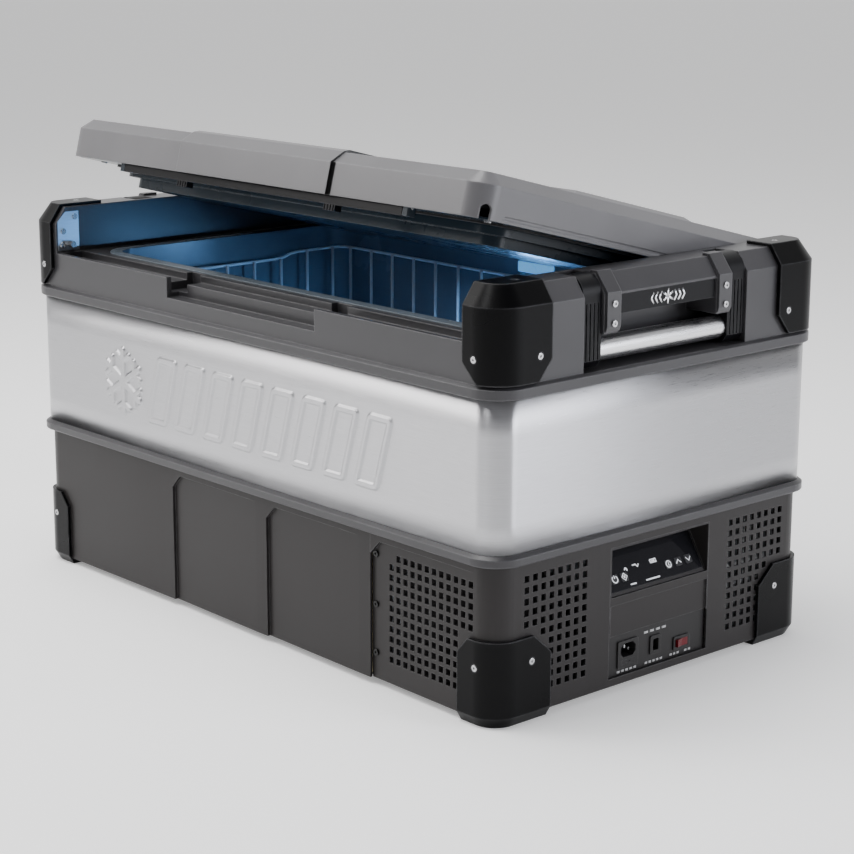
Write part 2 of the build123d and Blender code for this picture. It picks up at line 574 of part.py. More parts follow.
for end, sx in ENDS:
    with BuildPart() as handle_arms:
        for sy in BOTH:
            with BuildSketch(Plane.XZ.offset(-sy * ARM_IN)):
                with BuildLine():
                    Polyline(
                        (sx * (PIVOT_X + HEAD_ROUND), PIVOT_Z),
                        (sx * (PIVOT_X + HEAD_ROUND), ARM_BOTTOM + 8),
                        (sx * (PIVOT_X + HEAD_ROUND - 6), ARM_BOTTOM),
                        (sx * (PIVOT_X - 4), ARM_BOTTOM),
                        (sx * (PIVOT_X - 10), ARM_BOTTOM + 8),
                        (sx * (PIVOT_X - 12), PIVOT_Z - 30),
                        (sx * (PIVOT_X - HEAD_ROUND), PIVOT_Z),
                        close=True,
                    )
                make_face()
                with Locations((sx * PIVOT_X, PIVOT_Z)):
                    Circle(HEAD_ROUND)
            extrude(amount=-sy * ARM_T)
        # long ribs on the outer faces, cut between them
        for sy in BOTH:
            for k in range(4):
                groove_y = sy * (ARM_IN + 5 + 6 * k)
                with Locations((sx * (PIVOT_X + HEAD_ROUND), groove_y, (ARM_BOTTOM + PIVOT_Z) / 2)):
                    Box(3.0, 2.4, PIVOT_Z - ARM_BOTTOM - 16, mode=Mode.SUBTRACT)
            with Locations((sx * TUBE_X, sy * (ARM_IN - SPIGOT_L / 2), TUBE_Z)):
                Cylinder(TUBE_R - TUBE_WALL, SPIGOT_L, rotation=(90, 0, 0))
        with BuildSketch(Plane.XZ):
            with Locations((sx * PIVOT_X, PIVOT_Z)):
                Circle(AXLE_R)
        extrude(amount=WIDTH / 2, both=True, mode=Mode.SUBTRACT)
    handle_arms.part.label = f"{end}_handle_arms"
    export_step(handle_arms.part, f"parts/{end}_handle_arms.step")

    with BuildPart() as handle_tube:
        with BuildSketch(Plane.XZ):
            with Locations((sx * TUBE_X, TUBE_Z)):
                Circle(TUBE_R)
                Circle(TUBE_R - TUBE_WALL, mode=Mode.SUBTRACT)
        extrude(amount=ARM_IN, both=True)
    handle_tube.part.label = f"{end}_handle_tube"
    export_step(handle_tube.part, f"parts/{end}_handle_tube.step")

    with BuildPart() as handle_axle:
        with BuildSketch(Plane.XZ):
            with Locations((sx * PIVOT_X, PIVOT_Z)):
                Circle(AXLE_R)
        extrude(amount=AXLE_END, both=True)
    handle_axle.part.label = f"{end}_handle_axle"
    export_step(handle_axle.part, f"parts/{end}_handle_axle.step")

# Straps that come over the slope of the wall and hang down beside the recess.
with BuildPart() as handle_brackets:
    for _, sx in ENDS:
        for sy in BOTH:
            with BuildSketch(Plane.XZ.offset(-sy * BRACKET_Y0)):
                with BuildLine():
                    Polyline(
                        (sx * (FRAME_X - WALL_CHAMFER_D - 8), WALL_TOP),
                        (sx * (FRAME_X - WALL_CHAMFER_D - 8), WALL_TOP + 3),
                        (sx * (FRAME_X - WALL_CHAMFER_D + 2), WALL_TOP + 3),
                        (sx * (FRAME_X + BRACKET_T), CHAMFER_Z + 2),
                        (sx * (FRAME_X + BRACKET_T), BRACKET_END_Z + 5),
                        (sx * (FRAME_X + BRACKET_T / 2), BRACKET_END_Z),
                        (sx * FRAME_X, BRACKET_END_Z),
                        (sx * FRAME_X, CHAMFER_Z),
                        (sx * (FRAME_X - WALL_CHAMFER_D), WALL_TOP),
                        close=True,
                    )
                make_face()
            extrude(amount=-sy * (BRACKET_Y1 - BRACKET_Y0))
    with Locations(*BRACKET_SCREWS):
        Cylinder(SCREW_R, 24, mode=Mode.SUBTRACT)
handle_brackets.part.label = "handle_brackets"
export_step(handle_brackets.part, "parts/handle_brackets.step")

# Blank badge plates in the walls between the brackets.
with BuildPart() as badge_plates:
    with Locations(*[(sx * (FRAME_X - BADGE_T / 2 - 0.5), 0, (BADGE_Z0 + BADGE_Z1) / 2) for sx in BOTH]):
        Box(BADGE_T - 1, 2 * BADGE_HALF, BADGE_Z1 - BADGE_Z0 - 1)
badge_plates.part.label = "badge_plates"
export_step(badge_plates.part, "parts/badge_plates.step")

# =====================================================================================
# Hinge plates and pins on the inner faces of the end walls
# =====================================================================================
with BuildPart() as hinge_plates:
    for sx in BOTH:
        for sy in BOTH:
            with BuildSketch(Plane.YZ.offset(sx * WALL_IN)):
                with BuildLine():
                    Polyline(
                        (sy * PLATE_Y0, PLATE_Z0),
                        (sy * PLATE_Y1, PLATE_Z0),
                        (sy * PLATE_Y1, PLATE_Z1 - PLATE_CUT),
                        (sy * (PLATE_Y1 - PLATE_CUT), PLATE_Z1),
                        (sy * PLATE_Y0, PLATE_Z1),
                        close=True,
                    )
                make_face()
            extrude(amount=sx * PLATE_T)
    with Locations(*[(sx * WALL_IN, sy * PIN_Y, PIN_Z) for sx in BOTH for sy in BOTH]):
        Cylinder(PIN_R, 16, rotation=(0, 90, 0), mode=Mode.SUBTRACT)
    with Locations(*PLATE_SCREWS):
        Cylinder(SCREW_R, 24, mode=Mode.SUBTRACT)
hinge_plates.part.label = "hinge_plates"
export_step(hinge_plates.part, "parts/hinge_plates.step")

with BuildPart() as hinge_pins:
    pin_mid = WALL_IN + 12 - (12 + PIN_LEN) / 2
    with Locations(*[(sx * pin_mid, sy * PIN_Y, PIN_Z) for sx in BOTH for sy in BOTH]):
        Cylinder(PIN_R, 12 + PIN_LEN, rotation=(0, 90, 0))
hinge_pins.part.label = "hinge_pins"
export_step(hinge_pins.part, "parts/hinge_pins.step")

# Screws of the guards, the bay cover, the brackets and the hinge plates.
SCREW_SETS = (
    (TOP_SCREWS, screw(2.0, 12, 2.0)),
    (BASE_SCREWS, screw(1.5, 8, 1.5)),
    (COVER_SCREWS, screw(2.0, 10, 0.0)),
    (BRACKET_SCREWS, screw(2.0, 12, 0.0)),
    (PLATE_SCREWS, screw(1.6, 9, 0.0)),
)
with BuildPart() as body_screws:
    for places, piece in SCREW_SETS:
        with Locations(*places):
            add(piece)
body_screws.part.label = "body_screws"
export_step(body_screws.part, "parts/body_screws.step")

# =====================================================================================
# Lid, drawn closed and then turned open about the back pins
# =====================================================================================
LID_X = WALL_IN - LID_GAP_X
LID_Y = HY - LID_INSET_Y
LID_Z0 = RIM_TOP + LID_RISE
LID_Z1 = LID_Z0 + LID_SIDE_H
LID_Z2 = LID_Z1 + LID_SLOPE_H
LID_Z3 = LID_Z2 + LID_CROWN_H
LID_SKIN = 3.0
BAND_HALF = 142.0       # raised band across the lid
BAND_OUT = 4.0          # and how far it stands out of the long faces
END_BAND_HALF = 100.0   # raised band along the lid
BAND_SLOPE = 8.0
PIN_SLOT_W = 11.0       # slots in the lid's ends that drop over the pins
PIN_SLOT_Z = PIN_Z + 10.0
PLUG_GAP = 6.0          # lid liner to tub opening
LINER_T = 3.0
PLUG_STEP = 12.0
GASKET_IN = TUB_Y + 1.5
GASKET_W = 9.0
BAR_HALF = 262.0        # latch bar
BAR_Y = HY - 25.0       # latch pivot line, from the middle
BAR_Z = RIM_TOP + 5.0
BAR_T = 12.0
BAR_LOW = RIM_TOP - 5.0
HOOK_LOW = RIM_TOP - 12.0
LUG_T = 8.0
LATCH_PIN_R = 2.0
REAR_PINS = Axis((0, PIN_Y, PIN_Z), (1, 0, 0))


def export_open(piece, name):
    """Turn a piece drawn on the closed lid to the open rest position and write it."""
    turned = piece.rotate(REAR_PINS, -LID_OPEN)
    turned.label = name
    export_step(turned, f"parts/{name}.step")


with BuildPart() as lid_shell:
    with BuildSketch(Plane.XY.offset(LID_Z0)):
        RectangleRounded(2 * LID_X, 2 * LID_Y, LID_R)
    extrude(amount=LID_SIDE_H)
    with BuildSketch(Plane.XY.offset(LID_Z1)):
        RectangleRounded(2 * LID_X, 2 * LID_Y, LID_R)
    extrude(amount=LID_SLOPE_H, taper=degrees(atan2(LID_SLOPE_D, LID_SLOPE_H)))
    # raised bands: one across the lid that also stands out of its long faces, one along it
    top_y = LID_Y - LID_SLOPE_D
    with BuildSketch(Plane.YZ):
        with BuildLine():
            Polyline(
                (-LID_Y - BAND_OUT, LID_Z0),
                (LID_Y + BAND_OUT, LID_Z0),
                (LID_Y + BAND_OUT, LID_Z1),
                (top_y + BAND_OUT / 2, LID_Z2 + 1),
                (top_y - 6, LID_Z3),
                (6 - top_y, LID_Z3),
                (-top_y - BAND_OUT / 2, LID_Z2 + 1),
                (-LID_Y - BAND_OUT, LID_Z1),
                close=True,
            )
        make_face()
    extrude(amount=BAND_HALF, both=True)
    with BuildSketch(Plane.XY.offset(LID_Z2 - 0.5)):
        Rectangle(2 * (LID_X - LID_SLOPE_D) - 2, 2 * END_BAND_HALF)
    extrude(amount=LID_CROWN_H + 0.5, taper=degrees(atan2(BAND_SLOPE, LID_CROWN_H + 0.5)))
    # hollow under the skin
    with BuildSketch(Plane.XY.offset(LID_Z0)):
        RectangleRounded(2 * (LID_X - LID_SKIN), 2 * (LID_Y - LID_SKIN), LID_R - LID_SKIN)
    extrude(amount=LID_SIDE_H - 2, mode=Mode.SUBTRACT)
    with Locations((0, 0, LID_Z1 + 2)):
        Box(2 * (LID_X - LID_SLOPE_D - 12), 2 * (LID_Y - LID_SLOPE_D - 12), 10, mode=Mode.SUBTRACT)
    for sy in BOTH:
        with BuildSketch(Plane.YZ):
            with Locations((sy * PIN_Y, (LID_Z0 - 5 + PIN_SLOT_Z - PIN_SLOT_W / 2) / 2)):
                Rectangle(PIN_SLOT_W, PIN_SLOT_Z - PIN_SLOT_W / 2 - LID_Z0 + 5)
            with Locations((sy * PIN_Y, PIN_SLOT_Z - PIN_SLOT_W / 2)):
                Circle(PIN_SLOT_W / 2)
        extrude(amount=LENGTH, both=True, mode=Mode.SUBTRACT)
    # shadow grooves in the end faces, above the liner's edge
    with Locations(*[(sx * LID_X, 0, LID_Z0 + 5.5) for sx in BOTH]):
        Box(2.4, 2 * (LID_Y - 39), 3.5, mode=Mode.SUBTRACT)
export_open(lid_shell.part, "lid_shell")

# Liner: a plate that closes the lid with openings for the latch bars, and a stepped plug.
with BuildPart() as lid_liner:
    with BuildSketch(Plane.XY.offset(LID_Z0)):
        RectangleRounded(2 * (LID_X - LID_SKIN), 2 * (LID_Y - LID_SKIN), LID_R - LID_SKIN)
        with Locations(*[(0, sy * BAR_Y) for sy in BOTH]):
            Rectangle(2 * (BAR_HALF + GAP), BAR_T + 7, mode=Mode.SUBTRACT)
        with Locations(*[(sx * (LID_X - 6), sy * PIN_Y) for sx in BOTH for sy in BOTH]):
            Rectangle(16, PIN_SLOT_W + 4, mode=Mode.SUBTRACT)
    extrude(amount=LINER_T)
    with BuildSketch(Plane.XY.offset(LID_Z0 - PLUG_STEP)):
        RectangleRounded(2 * (TUB_X - PLUG_GAP), 2 * (TUB_Y - PLUG_GAP), TUB_R - PLUG_GAP)
    extrude(amount=PLUG_STEP)
    with BuildSketch(Plane.XY.offset(LID_Z0 - 2 * PLUG_STEP)):
        RectangleRounded(2 * (TUB_X - 3 * PLUG_GAP), 2 * (TUB_Y - 3 * PLUG_GAP), TUB_R - 2 * PLUG_GAP)
    extrude(amount=PLUG_STEP)
    with BuildSketch(Plane.XY.offset(LID_Z0 - 2 * PLUG_STEP + LINER_T)):
        RectangleRounded(2 * (TUB_X - 4 * PLUG_GAP), 2 * (TUB_Y - 4 * PLUG_GAP), TUB_R - 3 * PLUG_GAP)
    extrude(amount=3 * PLUG_STEP, mode=Mode.SUBTRACT)
    # lugs that carry the latch bars' pins
    for sx in BOTH:
        for sy in BOTH:
            with Locations((sx * (BAR_HALF + GAP + LUG_T / 2), sy * BAR_Y, BAR_Z)):
                Box(LUG_T, BAR_T, 2 * (BAR_Z - BAR_LOW))
    with Locations(*[(sx * (BAR_HALF + 4), sy * BAR_Y, BAR_Z) for sx in BOTH for sy in BOTH]):
        Cylinder(LATCH_PIN_R, 40, rotation=(0, 90, 0), mode=Mode.SUBTRACT)
export_open(lid_liner.part, "lid_liner")

LID_FOAM_LIFT = 12.0     # room over the liner for the latch bars
with BuildPart() as lid_foam:
    with Locations((0, 0, (LID_Z0 + LID_FOAM_LIFT + LID_Z1 - 2) / 2)):
        Box(2 * (LID_X - 18), 2 * (LID_Y - LID_SKIN - 5), LID_SIDE_H - LID_FOAM_LIFT - 2)
    with BuildSketch(Plane.XY.offset(LID_Z0 - 2 * PLUG_STEP + LINER_T)):
        RectangleRounded(2 * (TUB_X - 4 * PLUG_GAP), 2 * (TUB_Y - 4 * PLUG_GAP), TUB_R - 3 * PLUG_GAP)
    extrude(amount=2 * PLUG_STEP - LINER_T + LID_FOAM_LIFT)
export_open(lid_foam.part, "lid_foam")

with BuildPart() as lid_gasket:
    with BuildSketch(Plane.XY.offset(RIM_TOP + LIP_T + 0.3)):
        RectangleRounded(2 * (TUB_X + 1.5 + GASKET_W), 2 * (GASKET_IN + GASKET_W), TUB_R + GASKET_W)
        RectangleRounded(2 * (TUB_X + 1.5), 2 * GASKET_IN, TUB_R, mode=Mode.SUBTRACT)
    extrude(amount=LID_RISE - LIP_T - 0.3)
export_open(lid_gasket.part, "lid_gasket")

# Screws of the liner and the pins that the latch bars turn on.
LID_SCREWS = [
    Location((sx * (LID_X - 25), sy * (TUB_Y - 5 + GASKET_W * 2.4), LID_Z0), (180, 0, 0))
    for sx in (-1, -0.5, 0, 0.5, 1) for sy in BOTH
]
with BuildPart() as lid_fixings:
    with Locations(*LID_SCREWS):
        Cylinder(HEAD_R, 1.6, align=(Align.CENTER, Align.CENTER, Align.MIN))
    with Locations(*[(sx * (BAR_HALF + GAP), sy * BAR_Y, BAR_Z) for sx in BOTH for sy in BOTH]):
        Cylinder(LATCH_PIN_R, 18, rotation=(0, 90, 0))
export_open(lid_fixings.part, "lid_fixings")

# Latch bars, each moulded with two ribbed finger hooks.
for name, sy in (("front", -1), ("rear", 1)):
    with BuildPart() as latch:
        with Locations((0, sy * BAR_Y, (BAR_LOW + BAR_Z + 3) / 2)):
            Box(2 * BAR_HALF, BAR_T, BAR_Z + 3 - BAR_LOW)
        for sx in BOTH:
            with Locations((sx * HOOK_X, sy * BAR_Y, (HOOK_LOW + BAR_Z) / 2)):
                Box(HOOK_W, BAR_T - 2, BAR_Z - HOOK_LOW)
            with Locations(*[
                (sx * HOOK_X + (k - 1.5) * 5, sy * (BAR_Y + BAR_T / 2 - 1), (HOOK_LOW + BAR_LOW) / 2)
                for k in range(4)
            ]):
                Box(2.2, 3.0, BAR_LOW - HOOK_LOW, mode=Mode.SUBTRACT)
        with Locations(*[(sx * (BAR_HALF - 2), sy * BAR_Y, BAR_Z) for sx in BOTH]):
            Cylinder(LATCH_PIN_R + RUN, 16, rotation=(0, 90, 0), mode=Mode.SUBTRACT)
    export_open(latch.part, f"{name}_latch")

# =====================================================================================
# Wire baskets and the lamp
# =====================================================================================
WIRE = 3.0
BASKET_GAP = 8.0         # basket to the tub's long walls
GRILLE_GAP = 0.2         # between one grille and the next
BASKET_GAP_X = 11.0      # and to its end walls, clear of the rounded corners
BASKET_RIM = RIM_TOP - 26.0
WIRE_PITCH = 46.0


def grille(length, height, pitch):
    """Flat grille in the XZ plane from z = 0: rails at top, middle and bottom, uprights between."""
    bars = max(2, round(length / pitch))
    with BuildPart() as panel:
        for z in (WIRE / 2, height / 2, height - WIRE / 2):
            with Locations((0, 0, z)):
                Box(length, WIRE, WIRE)
        with Locations(*[((length - WIRE) * (k / bars - 0.5), 0, height / 2) for k in range(bars + 1)]):
            Box(WIRE, WIRE, height)
    return panel.part


def basket(x0, x1, floor_z):
    """Four side grilles and a floor grille, each its own solid, standing just inside the tub."""
    half_y = TUB_Y - TUB_WALL - BASKET_GAP
    height = BASKET_RIM - floor_z
    side = grille(x1 - x0, height, WIRE_PITCH)
    end = grille(2 * (half_y - WIRE - GRILLE_GAP), height, WIRE_PITCH)
    floor_x = x1 - x0 - 2 * (WIRE + GRILLE_GAP)
    floor_y = 2 * (half_y - WIRE - GRILLE_GAP)
    floor = grille(floor_x, floor_y, WIRE_PITCH)
    mid = (x0 + x1) / 2
    with BuildPart() as wires:
        with Locations(*[(mid, sy * (half_y - WIRE / 2), floor_z) for sy in BOTH]):
            add(side)
        with Locations(*[Location((x, 0, floor_z), (0, 0, 90)) for x in (x0 + WIRE / 2, x1 - WIRE / 2)]):
            add(end)
        with Locations(Location((mid, floor_y / 2, floor_z + WIRE / 2), (90, 0, 0))):
            add(floor)
    return wires.part


main_basket = basket(TUB_WALL + BASKET_GAP_X - TUB_X, STEP_X - BASKET_GAP_X, TUB_FLOOR + 3)
main_basket.label = "main_basket"
export_step(main_basket, "parts/main_basket.step")
step_basket = basket(STEP_X + BASKET_GAP_X, TUB_X - TUB_WALL - BASKET_GAP_X, STEP_FLOOR + 3)
step_basket.label = "step_basket"
export_step(step_basket, "parts/step_basket.step")

LAMP_Z = BASKET_RIM + 11.0
with BuildPart() as led_lamp:
    with Locations((40, TUB_Y - TUB_WALL - 2, LAMP_Z)):
        Box(64, 4, 13)
    fillet(led_lamp.edges().filter_by(Axis.Z), radius=1.5)
led_lamp.part.label = "led_lamp"
export_step(led_lamp.part, "parts/led_lamp.step")

# =====================================================================================
# Machine bay
# =====================================================================================
COMP_X = BAY_X + 72.0
COMP_Y = -HY + 150.0
COMP_R = 52.0
COMP_Z = FOOT_H + SKIN + 12.0
COMP_H = 122.0
with BuildPart() as compressor:
    with Locations((COMP_X, COMP_Y, COMP_Z + COMP_H / 2)):
        Cylinder(COMP_R, COMP_H)
    fillet(compressor.edges().group_by(Axis.Z)[-1], radius=24)
    with Locations((COMP_X, COMP_Y, COMP_Z + 1.5)):
        Box(2 * COMP_R + 24, 2 * COMP_R + 24, 3)
    with Locations((COMP_X, COMP_Y, COMP_Z + COMP_H * 0.5)):
        Cylinder(COMP_R + 2, 3)
compressor.part.label = "compressor"
export_step(compressor.part, "parts/compressor.step")

with BuildPart() as compressor_mounts:
    with Locations(*[(COMP_X + sx * 52, COMP_Y + sy * 52, FOOT_H + SKIN) for sx in BOTH for sy in BOTH]):
        Cylinder(8, COMP_Z - FOOT_H - SKIN, align=(Align.CENTER, Align.CENTER, Align.MIN))
compressor_mounts.part.label = "compressor_mounts"
export_step(compressor_mounts.part, "parts/compressor_mounts.step")

COND_X = BASE_X - 24.0
COND_Y = HY - 100.0
COND_L = 118.0
COND_Z0 = FOOT_H + SKIN + 10.0
COND_H = 140.0
FINS = 22
with BuildPart() as condenser:
    fin_ys = [COND_Y + (k / (FINS - 1) - 0.5) * COND_L for k in range(FINS)]
    with Locations(*[(COND_X, fin_y, COND_Z0 + COND_H / 2) for fin_y in fin_ys]):
        Box(26, 0.8, COND_H)
    with Locations(*[(COND_X + dx, COND_Y, COND_Z0 + 12 + 23 * k) for k in range(6) for dx in (-7, 7)]):
        Cylinder(3.2, COND_L + 8, rotation=(90, 0, 0))
condenser.part.label = "condenser"
export_step(condenser.part, "parts/condenser.step")

FAN_X = COND_X - 30.0
FAN_Z = COND_Z0 + COND_H / 2
FAN_SIZE = 120.0
FAN_T = 25.0
FAN_R = 56.0
HUB_R = 20.0
BLADES = 7
with BuildPart() as fan_frame:
    with Locations((FAN_X, COND_Y, FAN_Z)):
        Box(FAN_T, FAN_SIZE, FAN_SIZE)
        Cylinder(FAN_R + 1.5, FAN_T + 2, rotation=(0, 90, 0), mode=Mode.SUBTRACT)
    with Locations((FAN_X - FAN_T / 2 + 1.5, COND_Y, FAN_Z)):
        Cylinder(HUB_R, 3, rotation=(0, 90, 0))
        for turn in range(4):
            Box(3, 2 * FAN_R + 6, 5, rotation=(turn * 45 + 22.5, 0, 0))
        Cylinder(2.5 + RUN, FAN_T, rotation=(0, 90, 0), mode=Mode.SUBTRACT)
fan_frame.part.label = "fan_frame"
export_step(fan_frame.part, "parts/fan_frame.step")

with BuildPart() as fan_rotor:
    with Locations((FAN_X + 3, COND_Y, FAN_Z)):
        Cylinder(HUB_R, FAN_T - 8, rotation=(0, 90, 0))
    with Locations(*[Location((FAN_X + 3, COND_Y, FAN_Z), (k * 360 / BLADES, 0, 0)) for k in range(BLADES)]):
        with Locations(Location((0, (FAN_R + HUB_R - 3) / 2, 0), (0, 32, 0))):
            Box(1.6, FAN_R - HUB_R, 24)
    with Locations((FAN_X - 5, COND_Y, FAN_Z)):
        Cylinder(2.5, 10, rotation=(0, 90, 0))
fan_rotor.part.label = "fan_rotor"
export_step(fan_rotor.part, "parts/fan_rotor.step")

MODULE_X = BASE_X - 75.0
MODULE_Y = COMP_Y + 115.0         # beside the compressor
MODULE_Z = FOOT_H + SKIN + 50.0
with BuildPart() as control_module:
    with Locations((MODULE_X, MODULE_Y, MODULE_Z)):
        Box(26, 110, 70)
    with Locations(*[(MODULE_X - 18, MODULE_Y - 48 + 12 * k, MODULE_Z) for k in range(9)]):
        Box(11, 2.0, 66)
    with Locations((MODULE_X, MODULE_Y, FOOT_H + SKIN + 7.5)):
        Box(14, 60, 15)
control_module.part.label = "control_module"
export_step(control_module.part, "parts/control_module.step")

# Refrigerant pipe from the compressor up to the bay's roof and over to the condenser.
PIPE_R = 3.0
PIPE_Z = BASE_TOP - 10.0
with BuildPart() as refrigerant_pipes:
    with BuildLine() as pipe_route:
        FilletPolyline(
            (COMP_X - 30, COMP_Y, COMP_Z + COMP_H),
            (COMP_X - 30, COMP_Y, PIPE_Z),
            (COMP_X - 30, COND_Y - COND_L / 2 - 16, PIPE_Z),
            (COND_X, COND_Y - COND_L / 2 - 16, PIPE_Z),
            (COND_X, COND_Y - COND_L / 2 - 16, COND_Z0 + COND_H - 24),
            radius=10,
        )
    with BuildSketch(Plane.XY.offset(COMP_Z + COMP_H)):
        with Locations((COMP_X - 30, COMP_Y)):
            Circle(PIPE_R)
    sweep(path=pipe_route.line)
refrigerant_pipes.part.label = "refrigerant_pipes"
export_step(refrigerant_pipes.part, "parts/refrigerant_pipes.step")

# =====================================================================================
# Control panel, keys and power panel on the right end
# =====================================================================================
FIT = 0.3                                        # panel to its cut-out
PANEL_MID = (PANEL_Y0 + PANEL_Y1) / 2
PANEL_W = PANEL_Y1 - PANEL_Y0 - 2 * FIT
SLOPE_LOW = (BASE_X - 3.0, 112.0)                # foot and head of the sloping display face
SLOPE_HIGH = (BASE_X - 31.0, 158.0)
slope_dx = SLOPE_LOW[0] - SLOPE_HIGH[0]
slope_dz = SLOPE_HIGH[1] - SLOPE_LOW[1]
SLOPE_L = sqrt(slope_dx**2 + slope_dz**2)
SLOPE_OUT = (slope_dz / SLOPE_L, 0, slope_dx / SLOPE_L)
DISPLAY = Plane(
    origin=((SLOPE_LOW[0] + SLOPE_HIGH[0]) / 2, PANEL_MID, (SLOPE_LOW[1] + SLOPE_HIGH[1]) / 2),
    x_dir=(0, 1, 0),
    z_dir=SLOPE_OUT,
)
LENS_W = 156.0
LENS_H = 46.0
LENS_T = 2.0
KEY_W = 11.0
KEY_H = 10.0
KEY_V = -9.0
KEY_GAP = 0.4
KEY_FLANGE = 1.5
KEY_POCKET = 2.2
KEYS = (("power", -62.5), ("zone", -47.0), ("set", 26.5), ("up", 43.0), ("down", 60.0))
LIP_Z = 102.0
SIDE_WALL = 1.5          # housing wall beside and over the sunk field

with BuildPart() as control_panel:
    with Locations(((BASE_X - 34 + BASE_X) / 2, PANEL_MID, (SOCKET_Z1 + PANEL_Z1) / 2)):
        Box(34, PANEL_W, PANEL_Z1 - SOCKET_Z1 - FIT)
    # space in front of the display, a plain sunk field under the lip
    with BuildSketch(Plane.XZ.offset(-PANEL_MID)):
        with BuildLine():
            Polyline(
                SLOPE_LOW,
                SLOPE_HIGH,
                (SLOPE_HIGH[0], PANEL_Z1 - SIDE_WALL - FIT),
                (BASE_X + 5, PANEL_Z1 - SIDE_WALL - FIT),
                (BASE_X + 5, SLOPE_LOW[1]),
                close=True,
            )
        make_face()
    extrude(amount=PANEL_W / 2 - SIDE_WALL, both=True, mode=Mode.SUBTRACT)
    with Locations((BASE_X, PANEL_MID, (SOCKET_Z1 + LIP_Z) / 2)):
        Box(5, PANEL_W - 2 * SIDE_WALL, LIP_Z - SOCKET_Z1 + 0.01, mode=Mode.SUBTRACT)
    with BuildSketch(DISPLAY):
        Rectangle(LENS_W, LENS_H)
    extrude(amount=-LENS_T, mode=Mode.SUBTRACT)
    with BuildSketch(DISPLAY.offset(-LENS_T)):
        with Locations(*[(u, KEY_V) for _, u in KEYS]):
            Rectangle(KEY_W + 2 * KEY_FLANGE + 2 * KEY_GAP, KEY_H + 2 * KEY_FLANGE + 2 * KEY_GAP)
    extrude(amount=-KEY_POCKET, mode=Mode.SUBTRACT)
control_panel.part.label = "control_panel"
export_step(control_panel.part, "parts/control_panel.step")

with BuildPart() as display_lens:
    with BuildSketch(DISPLAY):
        Rectangle(LENS_W - FIT, LENS_H - FIT)
        with Locations(*[(u, KEY_V) for _, u in KEYS]):
            RectangleRounded(KEY_W + 2 * KEY_GAP, KEY_H + 2 * KEY_GAP, 2, mode=Mode.SUBTRACT)
    extrude(amount=-LENS_T)
display_lens.part.label = "display_lens"
export_step(display_lens.part, "parts/display_lens.step")

for name, u in KEYS:
    with BuildPart() as key:
        with BuildSketch(DISPLAY.offset(-LENS_T)):
            with Locations((u, KEY_V)):
                RectangleRounded(KEY_W, KEY_H, 2)
        extrude(amount=LENS_T + 0.8)
        with BuildSketch(DISPLAY.offset(-LENS_T - 0.1)):
            with Locations((u, KEY_V)):
                Rectangle(KEY_W + 2 * KEY_FLANGE, KEY_H + 2 * KEY_FLANGE)
        extrude(amount=-1.0)
        with BuildSketch(DISPLAY.offset(-LENS_T - 0.1)):
            with Locations((u, KEY_V)):
                Rectangle(KEY_W - 2, KEY_H - 2)
        extrude(amount=0.2)
    key.part.label = f"{name}_key"
    export_step(key.part, f"parts/{name}_key.step")

SOCKET_FACE = BASE_X - 4.0
SOCKET_T = 3.0
AC_Y = -44.0
AC_Z = 40.5
AC_W = 33.0
AC_H = 32.0
AC_BODY = 27.0
INLET_W = 24.2
INLET_H = 16.3
INLET_DEPTH = 17.0
INLET_Z = AC_Z + 4.5
DC_Y = 2.0
DC_Z = 40.5
DC_W = 17.5
DC_H = 22.0
ROCKER_Y = 46.5
ROCKER_Z = 33.0
ROCKER_W = 20.0
ROCKER_H = 9.0
ROCKER_TILT = 8.0

with BuildPart() as power_panel:
    with BuildSketch(Plane.YZ.offset(SOCKET_FACE)):
        with Locations((PANEL_MID, (PANEL_Z0 + SOCKET_Z1) / 2)):
            Rectangle(PANEL_W, SOCKET_Z1 - PANEL_Z0 - FIT)
        with Locations((AC_Y, AC_Z)):
            Rectangle(AC_BODY + FIT, AC_BODY + FIT, mode=Mode.SUBTRACT)
        with Locations((DC_Y, DC_Z)):
            Rectangle(DC_W - 4, DC_H - 4, mode=Mode.SUBTRACT)
        with Locations((ROCKER_Y, ROCKER_Z)):
            Rectangle(ROCKER_W + 2 * GAP, ROCKER_H + 2 * GAP, mode=Mode.SUBTRACT)
    extrude(amount=-SOCKET_T)
power_panel.part.label = "power_panel"
export_step(power_panel.part, "parts/power_panel.step")

# Mains inlet of the three-pin appliance pattern with a fuse drawer under it.
DRAWER_W = 20.0
DRAWER_H = 5.5
DRAWER_Z = AC_Z - 9.5
DRAWER_L = 16.0
with BuildPart() as ac_inlet:
    with BuildSketch(Plane.YZ.offset(SOCKET_FACE)):
        with Locations((AC_Y, AC_Z)):
            RectangleRounded(AC_W, AC_H, 2)
    extrude(amount=2.0)
    with BuildSketch(Plane.YZ.offset(SOCKET_FACE)):
        with Locations((AC_Y, AC_Z)):
            Rectangle(AC_BODY, AC_BODY)
    extrude(amount=-22)
    with BuildSketch(Plane.YZ.offset(SOCKET_FACE + 2.0)) as mouth:
        with Locations((AC_Y, INLET_Z)):
            Rectangle(INLET_W, INLET_H)
        chamfer(mouth.vertices().group_by(Axis.Z)[-1], length=4.5)
    extrude(amount=-INLET_DEPTH, mode=Mode.SUBTRACT)
    with Locations((SOCKET_FACE + 2 - DRAWER_L / 2, AC_Y, DRAWER_Z)):
        Box(DRAWER_L + 1, DRAWER_W + 0.4, DRAWER_H + 0.4, mode=Mode.SUBTRACT)
ac_inlet.part.label = "ac_inlet"
export_step(ac_inlet.part, "parts/ac_inlet.step")

